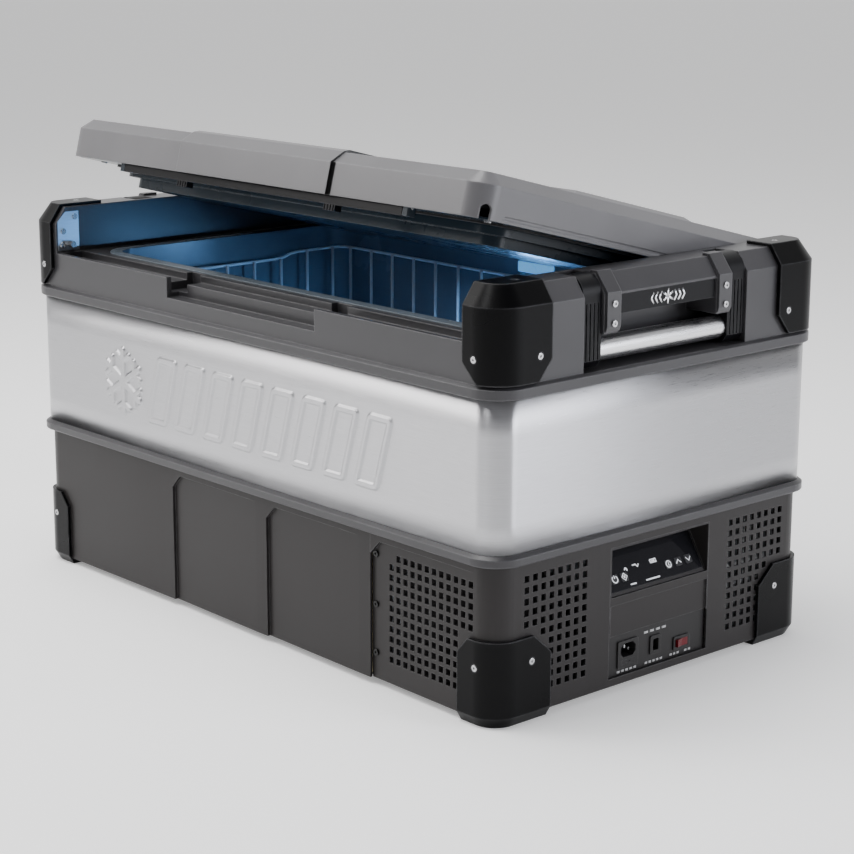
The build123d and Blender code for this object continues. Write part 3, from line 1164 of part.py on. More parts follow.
PIN_TIP = SOCKET_FACE - 4.0
with BuildPart() as ac_inlet_pins:
    pin_l = PIN_TIP - (SOCKET_FACE + 2 - INLET_DEPTH)
    for dy, dz in ((-7, -2), (0, 2), (7, -2)):
        with Locations((PIN_TIP - pin_l / 2, AC_Y + dy, INLET_Z + dz)):
            Box(pin_l, 2, 4)
ac_inlet_pins.part.label = "ac_inlet_pins"
export_step(ac_inlet_pins.part, "parts/ac_inlet_pins.step")

with BuildPart() as fuse_drawer:
    with Locations((SOCKET_FACE + 2 - DRAWER_L / 2 + 0.4, AC_Y, DRAWER_Z)):
        Box(DRAWER_L - 1, DRAWER_W, DRAWER_H)
    with Locations((SOCKET_FACE + 2, AC_Y, DRAWER_Z)):
        Box(1.6, 7, 1.6, mode=Mode.SUBTRACT)
    with Locations((SOCKET_FACE - 6, AC_Y, DRAWER_Z)):
        Box(9, 16, 4, mode=Mode.SUBTRACT)
fuse_drawer.part.label = "fuse_drawer"
export_step(fuse_drawer.part, "parts/fuse_drawer.step")

DC_DEPTH = 15.0
with BuildPart() as dc_inlet:
    with BuildSketch(Plane.YZ.offset(SOCKET_FACE)):
        with Locations((DC_Y, DC_Z)):
            RectangleRounded(DC_W, DC_H, 2)
    extrude(amount=2.0)
    with BuildSketch(Plane.YZ.offset(SOCKET_FACE)):
        with Locations((DC_Y, DC_Z)):
            Rectangle(DC_W - 4.4, DC_H - 4.4)
    extrude(amount=-18)
    with BuildSketch(Plane.YZ.offset(SOCKET_FACE + 2.0)):
        with Locations((DC_Y, DC_Z)):
            RectangleRounded(DC_W - 8, DC_H - 8, 1.5)
    extrude(amount=-DC_DEPTH, mode=Mode.SUBTRACT)
    for dz in (-4.5, 4.5):
        with Locations((SOCKET_FACE + 2 - DC_DEPTH + 4.5, DC_Y, DC_Z + dz)):
            Cylinder(1.2, 9, rotation=(0, 90, 0))
dc_inlet.part.label = "dc_inlet"
export_step(dc_inlet.part, "parts/dc_inlet.step")

# Rocker switch: a frame, its pivot pin, and the rocker resting on its inner side.
with BuildPart() as switch_frame:
    with BuildSketch(Plane.YZ.offset(SOCKET_FACE)):
        with Locations((ROCKER_Y, ROCKER_Z)):
            RectangleRounded(ROCKER_W + 7, ROCKER_H + 7, 2)
            Rectangle(ROCKER_W + 1.4, ROCKER_H + 0.8, mode=Mode.SUBTRACT)
    extrude(amount=1.8)
    with BuildSketch(Plane.YZ.offset(SOCKET_FACE)):
        with Locations((ROCKER_Y, ROCKER_Z)):
            Rectangle(ROCKER_W + 2 * GAP - 0.01, ROCKER_H + 2 * GAP - 0.01)
            Rectangle(ROCKER_W + 1.4, ROCKER_H + 0.8, mode=Mode.SUBTRACT)
    extrude(amount=-12)
    with Locations((SOCKET_FACE - 3, ROCKER_Y, ROCKER_Z)):
        Cylinder(1.5, ROCKER_H + 0.8)
switch_frame.part.label = "switch_frame"
export_step(switch_frame.part, "parts/switch_frame.step")

ROCKER_PIVOT = Axis((SOCKET_FACE - 3, ROCKER_Y, ROCKER_Z), (0, 0, 1))
with BuildPart() as rocker_switch:
    with BuildSketch(Plane.XY.offset(ROCKER_Z - ROCKER_H / 2)):
        with BuildLine():
            edge_y = ROCKER_W / 2 - 0.6
            Polyline(
                (SOCKET_FACE - 4.5, ROCKER_Y - edge_y),
                (SOCKET_FACE + 3.2, ROCKER_Y - edge_y),
                (SOCKET_FACE + 1.8, ROCKER_Y),
                (SOCKET_FACE + 3.2, ROCKER_Y + edge_y),
                (SOCKET_FACE - 4.5, ROCKER_Y + edge_y),
                (SOCKET_FACE - 6.5, ROCKER_Y),
                close=True,
            )
        make_face()
        with Locations((SOCKET_FACE - 3, ROCKER_Y)):
            Circle(1.5 + RUN, mode=Mode.SUBTRACT)
    extrude(amount=ROCKER_H)
rocker = rocker_switch.part.rotate(ROCKER_PIVOT, ROCKER_TILT)
rocker.label = "rocker_switch"
export_step(rocker, "parts/rocker_switch.step")
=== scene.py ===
import math

import bpy
import mathutils
import numpy as np
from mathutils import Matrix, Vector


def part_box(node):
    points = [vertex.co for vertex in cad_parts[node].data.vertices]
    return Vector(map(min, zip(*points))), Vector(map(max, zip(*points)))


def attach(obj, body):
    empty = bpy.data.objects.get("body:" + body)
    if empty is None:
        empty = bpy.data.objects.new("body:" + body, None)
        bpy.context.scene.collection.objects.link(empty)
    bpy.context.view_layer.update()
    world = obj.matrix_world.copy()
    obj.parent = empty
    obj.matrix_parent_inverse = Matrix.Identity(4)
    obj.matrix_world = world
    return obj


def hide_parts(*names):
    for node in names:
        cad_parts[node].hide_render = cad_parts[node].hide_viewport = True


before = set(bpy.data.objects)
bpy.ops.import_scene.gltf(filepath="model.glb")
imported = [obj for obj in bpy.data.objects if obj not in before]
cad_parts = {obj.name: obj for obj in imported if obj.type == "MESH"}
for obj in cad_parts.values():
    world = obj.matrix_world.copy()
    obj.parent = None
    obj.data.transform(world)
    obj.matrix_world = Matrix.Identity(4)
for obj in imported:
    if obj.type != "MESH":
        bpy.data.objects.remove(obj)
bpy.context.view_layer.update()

# ---------------------------------------------------------------------------------------
# Studio. A pale floor, a room that is white behind the fridge and grey in front of it, and
# three large soft lamps. A camera with a long lens looks down on the control panel end and
# the long front face.
# ---------------------------------------------------------------------------------------
BODY_MIDDLE = np.array([0.0, 0.0, 0.25])
EYE = np.array([2.0034, -1.7592, 0.8555])
LOOK = np.array([-0.7237, 0.6496, -0.2328])
ROLL = math.radians(0.19)
LENS_MM = 91.35


def axes_matrix(place, right, up, back):
    """4 x 4 matrix whose columns are right, up and back, with its origin at place."""
    rows = [[right[i], up[i], back[i], place[i]] for i in range(3)]
    return rows + [[0, 0, 0, 1]]


def aim(obj, place, look, roll=0.0):
    """Points an object's -Z along look from place, turned by roll about that line."""
    look = look / np.linalg.norm(look)
    right = np.cross(look, [0, 0, 1])
    right = right / np.linalg.norm(right)
    up = np.cross(right, look)
    turned_right = math.cos(roll) * right + math.sin(roll) * up
    turned_up = math.cos(roll) * up - math.sin(roll) * right
    matrix = axes_matrix(place, turned_right, turned_up, -look)
    obj.matrix_world = as_matrix(matrix)


def as_matrix(rows):
    """The rows as Blender's own matrix."""
    return mathutils.Matrix(rows)


camera_data = bpy.data.cameras.new("camera")
camera_data.lens = LENS_MM
camera_data.sensor_width = 36.0
camera_data.clip_start = 0.05
camera_data.clip_end = 60.0
camera = bpy.data.objects.new("camera", camera_data)
bpy.context.collection.objects.link(camera)
aim(camera, EYE, LOOK, ROLL)
bpy.context.scene.camera = camera

for name, place, size, power, colour in (
    ("key", (-2.0, -2.0, 1.9), 1.4, 48.0, (1.0, 0.98, 0.97)),
    ("end", (3.0, 1.4, 1.1), 1.6, 66.0, (0.91, 0.93, 1.0)),
    ("top", (-0.4, -0.7, 3.0), 2.2, 125.0, (1.0, 1.0, 1.0)),
):
    lamp = bpy.data.lights.new(name, "AREA")
    lamp.energy = power
    lamp.color = colour
    lamp.size = size
    lamp_object = bpy.data.objects.new(name, lamp)
    bpy.context.collection.objects.link(lamp_object)
    aim(lamp_object, np.array(place), BODY_MIDDLE - np.array(place))

BEHIND = (-0.74, 0.67, 0.0)
world = bpy.data.worlds.new("room")
bpy.context.scene.world = world
world.use_nodes = True
world_tree = world.node_tree
sky_place = world_tree.nodes.new("ShaderNodeTexCoord")
room_side = world_tree.nodes.new("ShaderNodeVectorMath")
room_side.operation = "DOT_PRODUCT"
room_side.inputs[1].default_value = BEHIND
room_ramp = world_tree.nodes.new("ShaderNodeValToRGB")
room_ramp.color_ramp.elements[0].position = 0.05
room_ramp.color_ramp.elements[0].color = (0.18, 0.18, 0.19, 1.0)
room_ramp.color_ramp.elements[1].position = 0.55
room_ramp.color_ramp.elements[1].color = (1.0, 1.0, 1.0, 1.0)
world_tree.links.new(sky_place.outputs["Generated"], room_side.inputs[0])
world_tree.links.new(room_side.outputs["Value"], room_ramp.inputs["Fac"])
world_tree.links.new(room_ramp.outputs["Color"], world_tree.nodes["Background"].inputs["Color"])
world_tree.nodes["Background"].inputs["Strength"].default_value = 1.1

floor_mesh = bpy.data.meshes.new("floor")
FLOOR_HALF = 30.0
floor_mesh.from_pydata(
    [(x * FLOOR_HALF, y * FLOOR_HALF, 0) for x, y in ((-1, -1), (1, -1), (1, 1), (-1, 1))],
    [],
    [(0, 1, 2, 3)],
)
floor = bpy.data.objects.new("floor", floor_mesh)
bpy.context.collection.objects.link(floor)
floor_paint = bpy.data.materials.new("floor_paint")
floor_paint.use_nodes = True
floor_shader = floor_paint.node_tree.nodes["Principled BSDF"]
floor_shader.inputs["Base Color"].default_value = (0.90, 0.90, 0.90, 1.0)
floor_shader.inputs["Roughness"].default_value = 0.7
floor_shader.inputs["Emission Color"].default_value = (1.0, 1.0, 1.0, 1.0)
floor_shader.inputs["Emission Strength"].default_value = 0.32
floor_mesh.materials.append(floor_paint)

# ---------------------------------------------------------------------------------------
# Base housing. Injection moulded, coloured through, with a fine spark-eroded grain and a
# slight sheen; the bay cover, the floor pan and the panel housing are the same plastic.
# ---------------------------------------------------------------------------------------


def shader_start(name):
    """A new material with its shader and its Object coordinates."""
    material = bpy.data.materials.new(name)
    material.use_nodes = True
    tree = material.node_tree
    shader = tree.nodes["Principled BSDF"]
    coords = tree.nodes.new("ShaderNodeTexCoord")
    return material, tree, shader, coords.outputs["Object"]


def noise(tree, place, scale, detail=2.0, stretch=(1.0, 1.0, 1.0)):
    """Noise of the given scale on the place vector, stretched by the three factors."""
    mapping = tree.nodes.new("ShaderNodeMapping")
    mapping.inputs["Scale"].default_value = stretch
    tree.links.new(place, mapping.inputs["Vector"])
    texture = tree.nodes.new("ShaderNodeTexNoise")
    texture.inputs["Scale"].default_value = scale
    texture.inputs["Detail"].default_value = detail
    tree.links.new(mapping.outputs["Vector"], texture.inputs["Vector"])
    return texture.outputs["Fac"]


def spread(tree, value, low, high):
    """The value's usual noise range, 0.3 to 0.7, carried to low..high."""
    node = tree.nodes.new("ShaderNodeMapRange")
    node.inputs["From Min"].default_value = 0.3
    node.inputs["From Max"].default_value = 0.7
    node.inputs["To Min"].default_value = low
    node.inputs["To Max"].default_value = high
    tree.links.new(value, node.inputs["Value"])
    return node.outputs["Result"]


def tint(tree, shader, value, dark, light):
    """Base colour mixed from dark to light by the value."""
    mix = tree.nodes.new("ShaderNodeMix")
    mix.data_type = "RGBA"
    mix.inputs["A"].default_value = (*dark, 1.0)
    mix.inputs["B"].default_value = (*light, 1.0)
    tree.links.new(spread(tree, value, 0.0, 1.0), mix.inputs["Factor"])
    tree.links.new(mix.outputs["Result"], shader.inputs["Base Color"])


def relief(tree, shader, value, height, strength, edge=0.0):
    """Bump of the value over rounded edges of the given radius."""
    bump = tree.nodes.new("ShaderNodeBump")
    bump.inputs["Distance"].default_value = height
    bump.inputs["Strength"].default_value = strength
    tree.links.new(value, bump.inputs["Height"])
    if edge > 0:
        rounded = tree.nodes.new("ShaderNodeBevel")
        rounded.samples = 4
        rounded.inputs["Radius"].default_value = edge
        tree.links.new(rounded.outputs["Normal"], bump.inputs["Normal"])
    tree.links.new(bump.outputs["Normal"], shader.inputs["Normal"])


def paint_edge_highlights(tree, shader, place, edge):
    """Painted highlight: lighter colour where the rounded normal leaves the face's own, broken up by noise.
    """
    rounded = tree.nodes.new("ShaderNodeBevel")
    rounded.samples = 4
    rounded.inputs["Radius"].default_value = 1.2 * edge
    face = tree.nodes.new("ShaderNodeNewGeometry")
    turn = tree.nodes.new("ShaderNodeVectorMath")
    turn.operation = "DOT_PRODUCT"
    tree.links.new(rounded.outputs["Normal"], turn.inputs[0])
    tree.links.new(face.outputs["Normal"], turn.inputs[1])
    edge_highlight = tree.nodes.new("ShaderNodeMapRange")
    edge_highlight.inputs["From Min"].default_value = 0.995
    edge_highlight.inputs["From Max"].default_value = 0.86
    tree.links.new(turn.outputs["Value"], edge_highlight.inputs["Value"])
    patchy = tree.nodes.new("ShaderNodeMath")
    patchy.operation = "MULTIPLY"
    tree.links.new(edge_highlight.outputs["Result"], patchy.inputs[0])
    tree.links.new(spread(tree, noise(tree, place, 60.0), 0.35, 1.0), patchy.inputs[1])
    mix = tree.nodes.new("ShaderNodeMix")
    mix.data_type = "RGBA"
    mix.blend_type = "SCREEN"
    mix.inputs["B"].default_value = (0.10, 0.10, 0.105, 1.0)
    tree.links.new(patchy.outputs["Value"], mix.inputs["Factor"])
    tree.links.new(shader.inputs["Base Color"].links[0].from_socket, mix.inputs["A"])
    tree.links.new(mix.outputs["Result"], shader.inputs["Base Color"])


def moulded(name, colour, rough, grain=1300.0, depth=0.35, edge=0.0012, streak=0.0, sheen=0.3):
    """Moulded plastic: grain bump, cloudy tint and sheen, and upright flow streaks."""
    material, tree, shader, place = shader_start(name)
    cloud = noise(tree, place, 7.0, 4.0)
    if streak > 0:
        flow = noise(tree, place, 1.0, 3.0, (150.0, 150.0, 5.0))
        blend = tree.nodes.new("ShaderNodeMix")
        blend.inputs["Factor"].default_value = streak
        tree.links.new(cloud, blend.inputs["A"])
        tree.links.new(flow, blend.inputs["B"])
        cloud = blend.outputs["Result"]
    tint(tree, shader, cloud, [c * 0.88 for c in colour], [c * 1.12 for c in colour])
    # Painted highlights along the rounded edges.
    if edge > 0:
        paint_edge_highlights(tree, shader, place, edge)
    tree.links.new(spread(tree, cloud, rough - 0.05, rough + 0.05), shader.inputs["Roughness"])
    shader.inputs["Specular IOR Level"].default_value = sheen
    relief(tree, shader, noise(tree, place, grain, 3.0), 0.00012, depth, edge)
    return material


def dress(material, *nodes):
    """Gives the named carried-over nodes one material."""
    for name in nodes:
        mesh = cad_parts[name].data
        mesh.materials.clear()
        mesh.materials.append(material)


base_plastic = moulded("base_plastic", (0.020, 0.0178, 0.0176), 0.42, streak=0.5, sheen=0.22)
dress(base_plastic, "lower_body_shell", "compressor_cover", "base_pan", "control_panel")
trim_plastic = moulded("trim_plastic", (0.028, 0.027, 0.030), 0.34, edge=0.002, sheen=0.45)
dress(trim_plastic, "lower_trim_bead")

# ---------------------------------------------------------------------------------------
# Steel band. One strip of stainless, brushed along its length, folded round the four
# corners. Its front is stamped with a plain frost star and slanted stiffening ribs.
# ---------------------------------------------------------------------------------------


def grid_mesh(name, points, closed_u=False, closed_v=False):
    """Mesh of quads over an n x m grid of points, joined round where it is closed."""
    rows, cols = points.shape[:2]
    u = np.arange(rows if closed_u else rows - 1)
    v = np.arange(cols if closed_v else cols - 1)
    uu, vv = np.meshgrid(u, v, indexing="ij")
    un, vn = (uu + 1) % rows, (vv + 1) % cols
    faces = np.stack([uu * cols + vv, un * cols + vv, un * cols + vn, uu * cols + vn], axis=-1).reshape(-1, 4)
    return mesh_from(name, points.reshape(-1, 3), faces)


def mesh_from(name, vertices, faces, smooth=True):
    """Object with a mesh of these vertices and these faces of four corners."""
    mesh = bpy.data.meshes.new(name)
    mesh.vertices.add(len(vertices))
    mesh.vertices.foreach_set("co", np.asarray(vertices, dtype=np.float32).ravel())
    mesh.loops.add(faces.size)
    mesh.loops.foreach_set("vertex_index", faces.astype(np.int32).ravel())
    mesh.polygons.add(len(faces))
    mesh.polygons.foreach_set("loop_start", np.arange(0, faces.size, faces.shape[1], dtype=np.int32))
    mesh.update(calc_edges=True)
    mesh.validate()
    mesh.polygons.foreach_set("use_smooth", np.full(len(mesh.polygons), smooth))
    obj = bpy.data.objects.new(name, mesh)
    bpy.context.collection.objects.link(obj)
    return obj


def rounded_box_distance(x, z, half_x, half_z, radius):
    """Signed distance to a rounded rectangle: length(max(|p| - b, 0)) + min(max(|p| - b), 0) - r."""
    dx = np.abs(x) - half_x + radius
    dz = np.abs(z) - half_z + radius
    outside = np.hypot(np.maximum(dx, 0), np.maximum(dz, 0))
    return outside + np.minimum(np.maximum(dx, dz), 0) - radius


def soft_step(distance, width):
    """1 inside, 0 outside, eased over the width: 3t^2 - 2t^3 of the distance."""
    t = np.clip(0.5 - distance / width, 0, 1)
    return t * t * (3 - 2 * t)


steel_low, steel_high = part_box("steel_wrap")
STEEL_SKIN = 0.0008
STEEL_R = 0.032
STAR_X, STAMP_Z = -0.240, 0.274
STAR_ARM = 0.044
STAR_BAR = 0.0045
TWIG_AT, TWIG_HALF, TWIG_BAR = 0.62, 0.009, 0.0034
RIB_FIRST, RIB_LAST, RIB_COUNT = -0.156, 0.244, 8
RIB_HALF_W, RIB_HALF_H, RIB_CORNER = 0.0205, 0.043, 0.006
RIB_LEAN = 0.30
RIB_RIM = 0.0070
STAMP_DEPTH = 0.0026
STAMP_EDGE = 0.0030
GRID = 0.00082


def stamp_height(x, z):
    """Height of the stamping: six-armed star, then a row of leaning rounded ribs with raised rims."""
    star = np.full(x.shape, 1.0)
    for k in range(6):
        angle = math.radians(60 * k + 30)
        along = (x - STAR_X) * math.cos(angle) + (z - STAMP_Z) * math.sin(angle)
        across = -(x - STAR_X) * math.sin(angle) + (z - STAMP_Z) * math.cos(angle)
        arm = rounded_box_distance(along - STAR_ARM / 2, across, STAR_ARM / 2, STAR_BAR, STAR_BAR)
        star = np.minimum(star, arm)
        for side in (-1, 1):
            tip = math.radians(60 * side)
            bx, bz = along - STAR_ARM * TWIG_AT, across
            b_along = bx * math.cos(tip) + bz * math.sin(tip)
            b_across = -bx * math.sin(tip) + bz * math.cos(tip)
            twig = rounded_box_distance(b_along - TWIG_HALF, b_across, TWIG_HALF, TWIG_BAR, TWIG_BAR)
            star = np.minimum(star, twig)
    ribs = np.full(x.shape, 1.0)
    for centre in np.linspace(RIB_FIRST, RIB_LAST, RIB_COUNT):
        lean = (x - centre) - RIB_LEAN * (z - STAMP_Z)
        ribs = np.minimum(ribs, rounded_box_distance(lean, z - STAMP_Z, RIB_HALF_W, RIB_HALF_H, RIB_CORNER))
    dish = soft_step(ribs + RIB_RIM, STAMP_EDGE)
    return STAMP_DEPTH * np.maximum(soft_step(star, STAMP_EDGE), soft_step(ribs, STAMP_EDGE) - 0.8 * dish)


def band_outline(half_x, half_y, radius, stations):
    """Rounded rectangle from the middle of the back, anticlockwise; stations are the front's x."""
    arc = np.radians(np.linspace(0, 90, 15))
    parts = [[(0.0, half_y)]]
    for cx, cy, start in ((-1, 1, 90), (-1, -1, 180), (1, -1, 270), (1, 1, 0)):
        centre = np.array([cx * (half_x - radius), cy * (half_y - radius)])
        turn = arc + math.radians(start)
        parts.append(centre + radius * np.stack([np.cos(turn), np.sin(turn)], axis=1))
        if start == 180:
            parts.append(np.stack([stations, np.full(len(stations), -half_y)], axis=1))
    return np.concatenate(parts)


stamp_x = np.arange(-0.296, 0.286, GRID)
stamp_z = np.arange(STAMP_Z - 0.048, STAMP_Z + 0.0485, GRID)
levels = np.concatenate([[steel_low[2]], stamp_z, [steel_high[2]]])
outline = band_outline(steel_high[0], steel_high[1], STEEL_R, stamp_x)
xx, zz = np.meshgrid(outline[:, 0], levels, indexing="ij")
yy = np.repeat(outline[:, 1:2], len(levels), axis=1)
on_front = np.isclose(yy, steel_low[1])
yy = yy - np.where(on_front, stamp_height(xx, zz), 0.0)
outer = np.stack([xx, yy, zz], axis=-1)
inner_half_x, inner_half_y = steel_high[0] - STEEL_SKIN, steel_high[1] - STEEL_SKIN
inner_ring = band_outline(inner_half_x, inner_half_y, STEEL_R - STEEL_SKIN, stamp_x)
inner = np.stack(
    [
        np.repeat(inner_ring[:, 0:1], 2, axis=1),
        np.repeat(inner_ring[:, 1:2], 2, axis=1),
        np.tile([steel_high[2], steel_low[2]], (len(inner_ring), 1)),
    ],
    axis=-1,
)
steel_band = grid_mesh("steel_band", np.concatenate([outer, inner], axis=1), closed_u=True, closed_v=True)


def brushed(name, colour, rough, stretch, scale, groove=0.5, edge=0.0):
    """Brushed metal: fine lines from noise drawn out along one way, in sheen and in relief."""
    material, tree, shader, place = shader_start(name)
    lines = noise(tree, place, scale, 4.0, stretch)
    cloud = noise(tree, place, 3.0, 2.0)
    tint(tree, shader, lines, [c * 0.93 for c in colour], [min(1.0, c * 1.05) for c in colour])
    shader.inputs["Metallic"].default_value = 1.0
    mixed = tree.nodes.new("ShaderNodeMix")
    mixed.inputs["Factor"].default_value = 0.65
    tree.links.new(cloud, mixed.inputs["A"])
    tree.links.new(lines, mixed.inputs["B"])
    roughness = spread(tree, mixed.outputs["Result"], rough - 0.06, rough + 0.06)
    tree.links.new(roughness, shader.inputs["Roughness"])
    relief(tree, shader, lines, 0.00005, groove, edge)
    return material


stainless = brushed("stainless", (0.50, 0.50, 0.515), 0.32, (0.02, 0.02, 1.0), 1700.0, 0.35)
steel_tree = stainless.node_tree
steel_shader = steel_tree.nodes["Principled BSDF"]
brush_way = steel_tree.nodes.new("ShaderNodeTangent")
brush_way.direction_type = "RADIAL"
brush_way.axis = "Z"
steel_tree.links.new(brush_way.outputs["Tangent"], steel_shader.inputs["Tangent"])
steel_shader.inputs["Anisotropic"].default_value = 0.95
steel_shader.inputs["Anisotropic Rotation"].default_value = 0.25
steel_band.data.materials.append(stainless)
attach(steel_band, "root")
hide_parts("steel_wrap")

# ---------------------------------------------------------------------------------------
# Tub, foam and lamp. The liner is one pale smooth moulding, the foam behind it is poured
# in place, and a small strip lamp on the back wall lights the inside blue.
# ---------------------------------------------------------------------------------------
liner_plastic = moulded("liner_plastic", (0.14, 0.17, 0.20), 0.24, grain=500.0, depth=0.15)
dress(liner_plastic, "inner_tub")
foam_fill = moulded("foam_fill", (0.70, 0.62, 0.38), 0.9, grain=300.0, depth=0.9, edge=0.0)
dress(foam_fill, "insulation_foam")
# Painted shade: the lid foam is near-black so that the hook slot in the lid shell reads as shadow.
lid_foam_shade = moulded("lid_foam_shade", (0.020, 0.020, 0.022), 0.9, grain=300.0, depth=0.9, edge=0.0)
dress(lid_foam_shade, "lid_foam")

lamp_glow, lamp_tree, lamp_shader, lamp_place = shader_start("lamp_glow")
tint(lamp_tree, lamp_shader, noise(lamp_tree, lamp_place, 300.0), (0.35, 0.62, 0.95), (0.50, 0.76, 1.0))
lamp_shader.inputs["Roughness"].default_value = 0.35
lamp_shader.inputs["Emission Color"].default_value = (0.16, 0.52, 1.0, 1.0)
lamp_shader.inputs["Emission Strength"].default_value = 0.6
dress(lamp_glow, "led_lamp")
lamp_low, lamp_high = map(np.array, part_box("led_lamp"))
inside_light = bpy.data.lights.new("inside", "AREA")
inside_light.energy = 3.2
inside_light.color = (0.20, 0.50, 1.0)
inside_light.shape = "RECTANGLE"
inside_light.size = 0.06
inside_light.size_y = 0.012
inside_lamp = bpy.data.objects.new("inside", inside_light)
bpy.context.collection.objects.link(inside_lamp)
LAMP_STAND_OFF = np.array([0.0, 0.012, 0.030])
DOWN_AND_FORWARD = np.array([0.0, -0.45, -1.0])
aim(inside_lamp, (lamp_low + lamp_high) / 2 - LAMP_STAND_OFF, DOWN_AND_FORWARD)

# ---------------------------------------------------------------------------------------
# Baskets. Round steel wire, bent and welded, with a white powder coat. The rim dips for a
# hand at the middle of each short side.
# ---------------------------------------------------------------------------------------


def unit(vectors):
    """The vectors at length 1."""
    return vectors / np.linalg.norm(vectors, axis=-1, keepdims=True)


def rounded_path(corners, radius, closed=False):
    """The corners joined by straight lines, each corner cut by a curve (1-t)^2 a + 2t(1-t) b + t^2 c."""
    corners = np.asarray(corners, dtype=float)
    t = np.linspace(0, 1, 6)[:, None]
    points = []
    for i, here in enumerate(corners):
        if not closed and i in (0, len(corners) - 1):
            points.append(here[None])
            continue
        back = corners[i - 1] - here
        ahead = corners[(i + 1) % len(corners)] - here
        start = here + unit(back) * min(radius, np.linalg.norm(back) / 2.1)
        end = here + unit(ahead) * min(radius, np.linalg.norm(ahead) / 2.1)
        points.append((1 - t) ** 2 * start + 2 * t * (1 - t) * here + t**2 * end)
    return np.concatenate(points)


def sweep(name, runs, half_wide, half_thick, sides=8):
    """Round or flat wire: rings of path + cos a x half_wide x side + sin a x half_thick x normal."""
    angle = np.linspace(0, 2 * math.pi, sides, endpoint=False)
    vertices, faces, used = [], [], 0
    for path, normal, closed in runs:
        ahead = np.roll(path, -1, axis=0) - path
        behind = path - np.roll(path, 1, axis=0)
        if not closed:
            ahead[-1] = behind[-1]
            behind[0] = ahead[0]
        along = unit(unit(ahead) + unit(behind))
        side = unit(np.cross(along, normal))
        up = np.cross(side, along)
        size = np.ones(len(path))
        if not closed:
            path, side, up = (np.concatenate([a[:1], a, a[-1:]]) for a in (path, side, up))
            size = np.concatenate([[0.0], size, [0.0]])
        ring = half_wide * np.cos(angle)[None, :, None] * side[:, None, :]
        ring = ring + half_thick * np.sin(angle)[None, :, None] * up[:, None, :]
        vertices.append((path[:, None, :] + size[:, None, None] * ring).reshape(-1, 3))
        u = np.arange(len(path) if closed else len(path) - 1)
        v = np.arange(sides)
        uu, vv = np.meshgrid(u, v, indexing="ij")
        un, vn = (uu + 1) % len(path), (vv + 1) % sides
        quads = np.stack([uu * sides + vv, uu * sides + vn, un * sides + vn, un * sides + vv], axis=-1)
        faces.append(quads.reshape(-1, 4) + used)
        used += len(path) * sides
    return mesh_from(name, np.concatenate(vertices), np.concatenate(faces))


WIRE_R = 0.0020
WIRE_PITCH = 0.046
BASKET_BEND = 0.022
WIRE_BEND = 0.012
HAND_DIP = 0.007
HAND_HALF = 0.075
HAND_SLOPE = 0.015
X_WAY, Y_WAY, Z_WAY = np.eye(3)


def basket_runs(low, high):
    """Rim, middle and foot loops, and wires that run down one side, over the floor and up the other."""
    x0, y0, z0 = low + WIRE_R
    x1, y1, z1 = high - WIRE_R
    dip_end = HAND_HALF + HAND_SLOPE
    dip = [(dip_end, 0), (HAND_HALF, -HAND_DIP), (-HAND_HALF, -HAND_DIP), (-dip_end, 0)]
    left = [(x0, y, z1 + dz) for y, dz in dip]
    right = [(x1, y, z1 + dz) for y, dz in dip[::-1]]
    rim = [(x0, y1, z1), *left, (x0, y0, z1), (x1, y0, z1), *right, (x1, y1, z1)]
    runs = [(rounded_path(rim, BASKET_BEND, True), Z_WAY, True)]
    for z in ((z0 + z1) / 2, z0 + BASKET_BEND):
        loop = [(x0, y1, z), (x0, y0, z), (x1, y0, z), (x1, y1, z)]
        runs.append((rounded_path(loop, BASKET_BEND, True), Z_WAY, True))
    in_x0, in_x1 = x0 + 2 * WIRE_R, x1 - 2 * WIRE_R
    in_y0, in_y1 = y0 + 2 * WIRE_R, y1 - 2 * WIRE_R
    for x in np.linspace(x0 + BASKET_BEND, x1 - BASKET_BEND, max(3, round((x1 - x0) / WIRE_PITCH))):
        path = [(x, in_y0, z1), (x, in_y0, z0), (x, in_y1, z0), (x, in_y1, z1)]
        runs.append((rounded_path(path, WIRE_BEND), X_WAY, False))
    for y in np.linspace(y0 + BASKET_BEND, y1 - BASKET_BEND, round((y1 - y0) / WIRE_PITCH)):
        top = z1 - HAND_DIP if abs(y) < HAND_HALF else z1
        foot = z0 + 2 * WIRE_R
        path = [(in_x0, y, top), (in_x0, y, foot), (in_x1, y, foot), (in_x1, y, top)]
        runs.append((rounded_path(path, WIRE_BEND), Y_WAY, False))
    return runs


white_coat = moulded("white_coat", (0.88, 0.89, 0.90), 0.35, grain=700.0, depth=0.3, edge=0.0, sheen=0.5)
for node in ("main_basket", "step_basket"):
    wires = sweep(node + "_wires", basket_runs(*map(np.array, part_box(node))), WIRE_R, WIRE_R)
    wires.data.materials.append(white_coat)
    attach(wires, "root")
    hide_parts(node)

# ---------------------------------------------------------------------------------------
# Top frame. One large moulding in warm grey with a fine grain; the brackets of the handles
# are the same colour.
# ---------------------------------------------------------------------------------------
frame_plastic = moulded("frame_plastic", (0.040, 0.039, 0.042), 0.34, edge=0.0018, sheen=0.4)
dress(frame_plastic, "upper_frame")
bracket_plastic = moulded("bracket_plastic", (0.034, 0.033, 0.036), 0.34, edge=0.0015, sheen=0.5)
dress(bracket_plastic, "handle_brackets")

# ---------------------------------------------------------------------------------------
# Corner guards. Tough black mouldings with a coarser grain, screwed on at each corner.
# ---------------------------------------------------------------------------------------
guard_black = (0.0015, 0.0015, 0.0018)
guard_plastic = moulded("guard_plastic", guard_black, 0.30, grain=900.0, depth=0.4, edge=0.0022, sheen=0.10)
corner_names = ("front_right", "front_left", "back_right", "back_left")
dress(guard_plastic, *[f"{level}_guard_{corner}" for level in ("top", "bottom") for corner in corner_names])

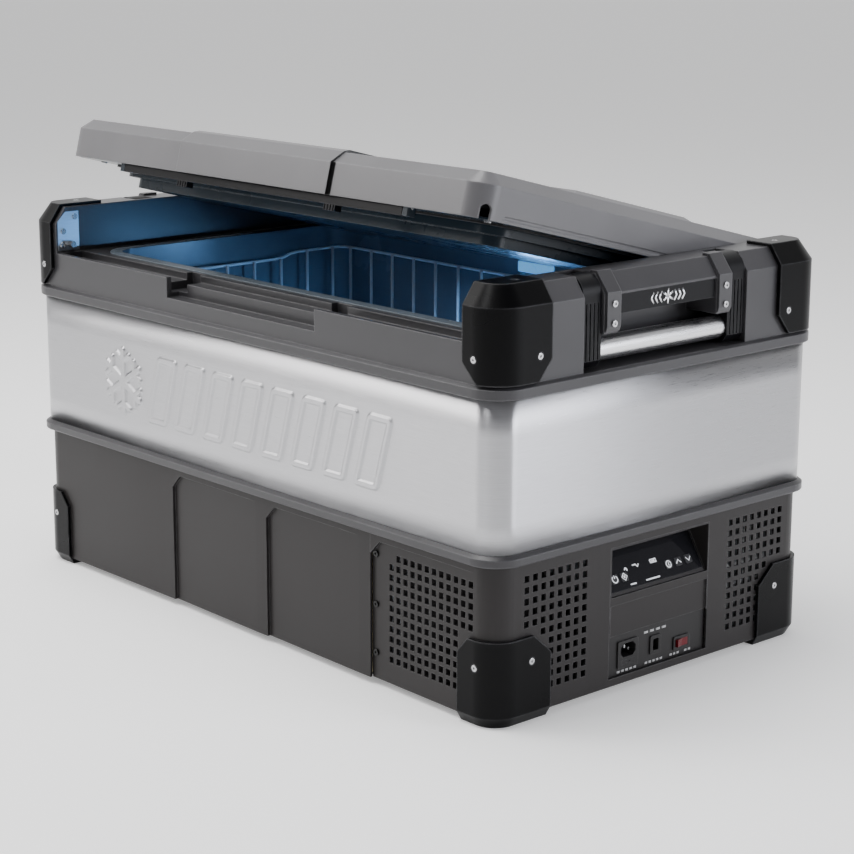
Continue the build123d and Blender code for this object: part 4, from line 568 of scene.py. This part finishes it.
screw_steel = brushed("screw_steel", (0.50, 0.50, 0.51), 0.24, (1.0, 1.0, 1.0), 900.0, 0.3, 0.0004)
dress(screw_steel, "body_screws", "lid_fixings", "hinge_pins", "ac_inlet_pins")
dress(screw_steel, "right_handle_axle", "left_handle_axle")
COVER_SCREW_X = 0.240
COVER_SCREW_HALF = 0.007


def axis_value(tree, vector, axis):
    """One coordinate of a vector."""
    split = tree.nodes.new("ShaderNodeSeparateXYZ")
    tree.links.new(vector, split.inputs["Vector"])
    return split.outputs[axis]


def near(tree, value, middle, half):
    """1 where the value is within half of middle, else 0."""
    compare = tree.nodes.new("ShaderNodeMath")
    compare.operation = "COMPARE"
    compare.inputs[1].default_value = middle
    compare.inputs[2].default_value = half
    tree.links.new(value, compare.inputs[0])
    return compare.outputs["Value"]


def paint_over(tree, mask, grey):
    """Base colour replaced by a dark grey where the mask is 1."""
    shader = tree.nodes["Principled BSDF"]
    mix = tree.nodes.new("ShaderNodeMix")
    mix.data_type = "RGBA"
    mix.inputs["B"].default_value = (grey, grey, grey, 1.0)
    tree.links.new(mask, mix.inputs["Factor"])
    tree.links.new(shader.inputs["Base Color"].links[0].from_socket, mix.inputs["A"])
    tree.links.new(mix.outputs["Result"], shader.inputs["Base Color"])


screw_tree = screw_steel.node_tree
screw_place = screw_tree.nodes["Texture Coordinate"].outputs["Object"]
screw_x = axis_value(screw_tree, screw_place, "X")
paint_over(screw_tree, near(screw_tree, screw_x, COVER_SCREW_X, COVER_SCREW_HALF), 0.03)
plate_steel = brushed("plate_steel", (0.62, 0.66, 0.70), 0.38, (1.0, 0.05, 1.0), 900.0, 0.4, 0.0006)
dress(plate_steel, "hinge_plates", "bay_bulkhead")

# ---------------------------------------------------------------------------------------
# End handles. Black ribbed arms, a satin anodised tube between them, and a blank badge
# plate with a small frost star above the grip.
# ---------------------------------------------------------------------------------------
arm_plastic = moulded("arm_plastic", (0.004, 0.004, 0.005), 0.32, edge=0.0008, sheen=0.16)
dress(arm_plastic, "right_handle_arms", "left_handle_arms", "badge_plates", "front_latch", "rear_latch")
badge_low, badge_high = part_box("badge_plates")
badge_z = (badge_low[2] + badge_high[2]) / 2
BADGE_STAR = 0.0085
CHEVRON_DEEP, CHEVRON_HALF = 0.004, 0.006
CHEVRON_PLACES = (0.014, 0.0205, 0.027)
motif_runs = []
for face_x, facing in ((badge_high[0], 1), (badge_low[0], -1)):
    for k in range(6):
        turn = math.radians(60 * k + 30)
        tip = np.array([0, math.cos(turn), math.sin(turn)]) * BADGE_STAR
        hub = np.array([face_x, 0, badge_z])
        motif_runs.append((np.stack([hub, hub + tip]), X_WAY * facing, False))
    for way in (-1, 1):
        for place in CHEVRON_PLACES:
            foot_y = way * (place - CHEVRON_DEEP)
            bend = [(foot_y, -CHEVRON_HALF), (way * place, 0.0), (foot_y, CHEVRON_HALF)]
            points = np.array([(face_x, y, badge_z + z) for y, z in bend])
            motif_runs.append((points, X_WAY * facing, False))
badge_motif = sweep("badge_motif", motif_runs, 0.0014, 0.0005)
bright_metal = brushed("bright_metal", (0.80, 0.80, 0.82), 0.18, (1.0, 1.0, 1.0), 700.0, 0.2)
badge_motif.data.materials.append(bright_metal)
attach(badge_motif, "root")
tube_satin = brushed("tube_satin", (0.78, 0.78, 0.79), 0.30, (1.0, 0.03, 1.0), 1400.0, 0.25)
dress(tube_satin, "right_handle_tube", "left_handle_tube", "evaporator", "condenser")

# ---------------------------------------------------------------------------------------
# Lid. A large grained moulding in a lighter grey over a dark smooth liner, with a rubber
# seal round the plug. A thin line of painted shade on the upright faces down each side of
# the raised middle band stands for the shadow in the joint there.
# ---------------------------------------------------------------------------------------
lid_plastic = moulded("lid_plastic", (0.110, 0.108, 0.113), 0.34, edge=0.0022, sheen=0.5)
BAND_HALF = 0.144
GAP_SHADE_HALF = 0.0021
UPRIGHT = 0.45
lid_tree = lid_plastic.node_tree
lid_x = lid_tree.nodes.new("ShaderNodeMath")
lid_x.operation = "ABSOLUTE"
lid_place = lid_tree.nodes["Texture Coordinate"].outputs["Object"]
lid_tree.links.new(axis_value(lid_tree, lid_place, "X"), lid_x.inputs[0])
lid_facing = lid_tree.nodes.new("ShaderNodeNewGeometry")
lid_rise = axis_value(lid_tree, lid_facing.outputs["Normal"], "Z")
# Painted shade: the lid colour goes near-black in a thin line at |x| = BAND_HALF on the upright faces.
lid_gap_shade = lid_tree.nodes.new("ShaderNodeMath")
lid_gap_shade.operation = "MULTIPLY"
lid_tree.links.new(near(lid_tree, lid_x.outputs["Value"], BAND_HALF, GAP_SHADE_HALF), lid_gap_shade.inputs[0])
lid_tree.links.new(near(lid_tree, lid_rise, 0.0, UPRIGHT), lid_gap_shade.inputs[1])
paint_over(lid_tree, lid_gap_shade.outputs["Value"], 0.004)
dress(lid_plastic, "lid_shell")
lid_liner_plastic = moulded("lid_liner_plastic", (0.010, 0.019, 0.028), 0.28, grain=500.0, depth=0.12)
dress(lid_liner_plastic, "lid_liner")
seal_rubber = moulded("seal_rubber", (0.006, 0.006, 0.007), 0.55, grain=1800.0, depth=0.4)
dress(seal_rubber, "lid_gasket", "compressor_mounts")

# ---------------------------------------------------------------------------------------
# Machine bay. A black painted compressor can, copper pipe, a finned condenser, a fan and
# the control module behind the panels.
# ---------------------------------------------------------------------------------------
can_paint = moulded("can_paint", (0.018, 0.018, 0.018), 0.30, grain=350.0, depth=0.3)
dress(can_paint, "compressor")
copper = brushed("copper", (0.72, 0.40, 0.26), 0.30, (1.0, 1.0, 1.0), 400.0, 0.2)
dress(copper, "refrigerant_pipes")
dress(arm_plastic, "fan_frame", "fan_rotor", "control_module")

# ---------------------------------------------------------------------------------------
# Controls and sockets. A gloss black lens over the display with five keys, a satin black
# socket panel, the inlets and a red rocker.
# ---------------------------------------------------------------------------------------
lens_gloss = moulded("lens_gloss", (0.010, 0.010, 0.012), 0.10, grain=200.0, depth=0.02, edge=0.0004)
dress(lens_gloss, "display_lens")
key_plastic = moulded("key_plastic", (0.018, 0.018, 0.020), 0.30, edge=0.0005)
dress(key_plastic, "power_key", "zone_key", "set_key", "up_key", "down_key")
socket_plastic = moulded("socket_plastic", (0.013, 0.012, 0.012), 0.42, edge=0.0005)
dress(socket_plastic, "power_panel", "ac_inlet", "dc_inlet", "switch_frame", "fuse_drawer")
switch_red = moulded("switch_red", (0.11, 0.004, 0.008), 0.25, edge=0.0005)
dress(switch_red, "rocker_switch")

LENS_T = 0.002
SLOPE_OUT = unit(np.array([46.0, 0.0, 28.0]))
SLOPE_UP = np.array([-SLOPE_OUT[2], 0.0, SLOPE_OUT[0]])
lens_low, lens_high = map(np.array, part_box("display_lens"))
lens_foot = np.array([lens_high[0], (lens_low[1] + lens_high[1]) / 2, lens_low[2] + LENS_T * SLOPE_OUT[2]])
LENS_HALF_H = 0.023
KEY_TOP = 0.0008
PRINT_HALF_W = 0.0007
PRINT_HALF_T = 0.00003
PRINT_V = -0.009


def on_lens(points, lift):
    """Points (u, v) from the lens's middle, along the end and up the slope, as places in the frame."""
    points = np.asarray(points, dtype=float)
    up_slope = (points[:, 1:] + LENS_HALF_H) * SLOPE_UP
    return lens_foot + points[:, :1] * Y_WAY + up_slope + (lift + PRINT_HALF_T) * SLOPE_OUT


def circle(u, v, radius, start, stop):
    """Arc about (u, v) from the start to the stop angle in degrees."""
    turn = np.radians(np.linspace(start, stop, 25))
    return np.stack([u + radius * np.cos(turn), v + radius * np.sin(turn)], axis=1)


print_white_glow, print_tree, print_shader, print_place = shader_start("print_white_glow")
tint(print_tree, print_shader, noise(print_tree, print_place, 900.0), (0.80, 0.81, 0.83), (0.92, 0.93, 0.95))
print_shader.inputs["Roughness"].default_value = 0.5
# Painted glow: the white print gives off a little light of its own, though it is no lamp.
print_shader.inputs["Emission Color"].default_value = (0.9, 0.95, 1.0, 1.0)
print_shader.inputs["Emission Strength"].default_value = 0.35
relief(print_tree, print_shader, noise(print_tree, print_place, 2500.0), 0.00002, 0.3)

chevron = np.array([(-0.0040, -0.0022), (0.0, 0.0022), (0.0040, -0.0022)])
diamond = np.array([(-0.0042, 0.0), (0.0, 0.0042), (0.0042, 0.0), (0.0, -0.0042), (-0.0042, 0.0)])
key_prints = {
    "power_key": [circle(0, 0, 0.0040, 125, 415), [(0, 0.0008), (0, 0.0047)]],
    "zone_key": [diamond, circle(0, 0, 0.0009, 0, 350)],
    "set_key": [circle(0, 0, 0.0038, 0, 355), [(0, -0.0022), (0, 0.0022)]],
    "up_key": [chevron],
    "down_key": [-chevron],
}
for key, strokes in key_prints.items():
    key_low, key_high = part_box(key)
    shift = np.array([(key_low[1] + key_high[1]) / 2 - lens_foot[1], PRINT_V])
    runs = [(on_lens(np.asarray(line) + shift, KEY_TOP), SLOPE_OUT, False) for line in strokes]
    symbol = sweep(key + "_symbol", runs, PRINT_HALF_W, PRINT_HALF_T)
    symbol.data.materials.append(print_white_glow)
    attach(symbol, key)

lens_lines = [
    circle(-0.0405, -0.0016, 0.0017, -60, 200),
    [(-0.0290, 0.0012), (-0.0235, 0.0012), (-0.0210, -0.0018), (-0.0185, 0.0012)],
    [(0.0005, -0.0018), (0.0098, -0.0018), (0.0098, 0.0018), (0.0005, 0.0018), (0.0005, -0.0018)],
    [(0.0020, 0.0), (0.0080, 0.0)],
    [(-0.0415, -0.0194), (-0.0318, -0.0194)],
    [(-0.0160, -0.0194), (0.0070, -0.0194)],
]
lens_marks = sweep(
    "lens_marks",
    [(on_lens(line, 0.0), SLOPE_OUT, False) for line in lens_lines],
    0.0009,
    PRINT_HALF_T,
)
lens_marks.data.materials.append(print_white_glow)
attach(lens_marks, "root")

print_grey = moulded("print_grey", (0.42, 0.42, 0.42), 0.5, grain=900.0, depth=0.2, edge=0.0)
panel_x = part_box("power_panel")[1][0] + PRINT_HALF_T


def dashes(start, stop, z, count):
    """A row of count short bars between two y values at height z."""
    pitch = (stop - start) / count
    firsts = start + pitch * np.arange(count)
    return [np.array([(panel_x, y, z), (panel_x, y + 0.68 * pitch, z)]) for y in firsts]


caption_rows = dashes(-0.0600, -0.0260, 0.0205, 5) + dashes(-0.0140, 0.0175, 0.0207, 5)
caption_rows += dashes(0.0280, 0.0460, 0.0209, 3) + dashes(0.0530, 0.0660, 0.0209, 2)
caption_rows += dashes(-0.0165, 0.0235, 0.0577, 4)
captions = sweep("socket_captions", [(line, X_WAY, False) for line in caption_rows], 0.0014, PRINT_HALF_T)
captions.data.materials.append(print_grey)
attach(captions, "root")
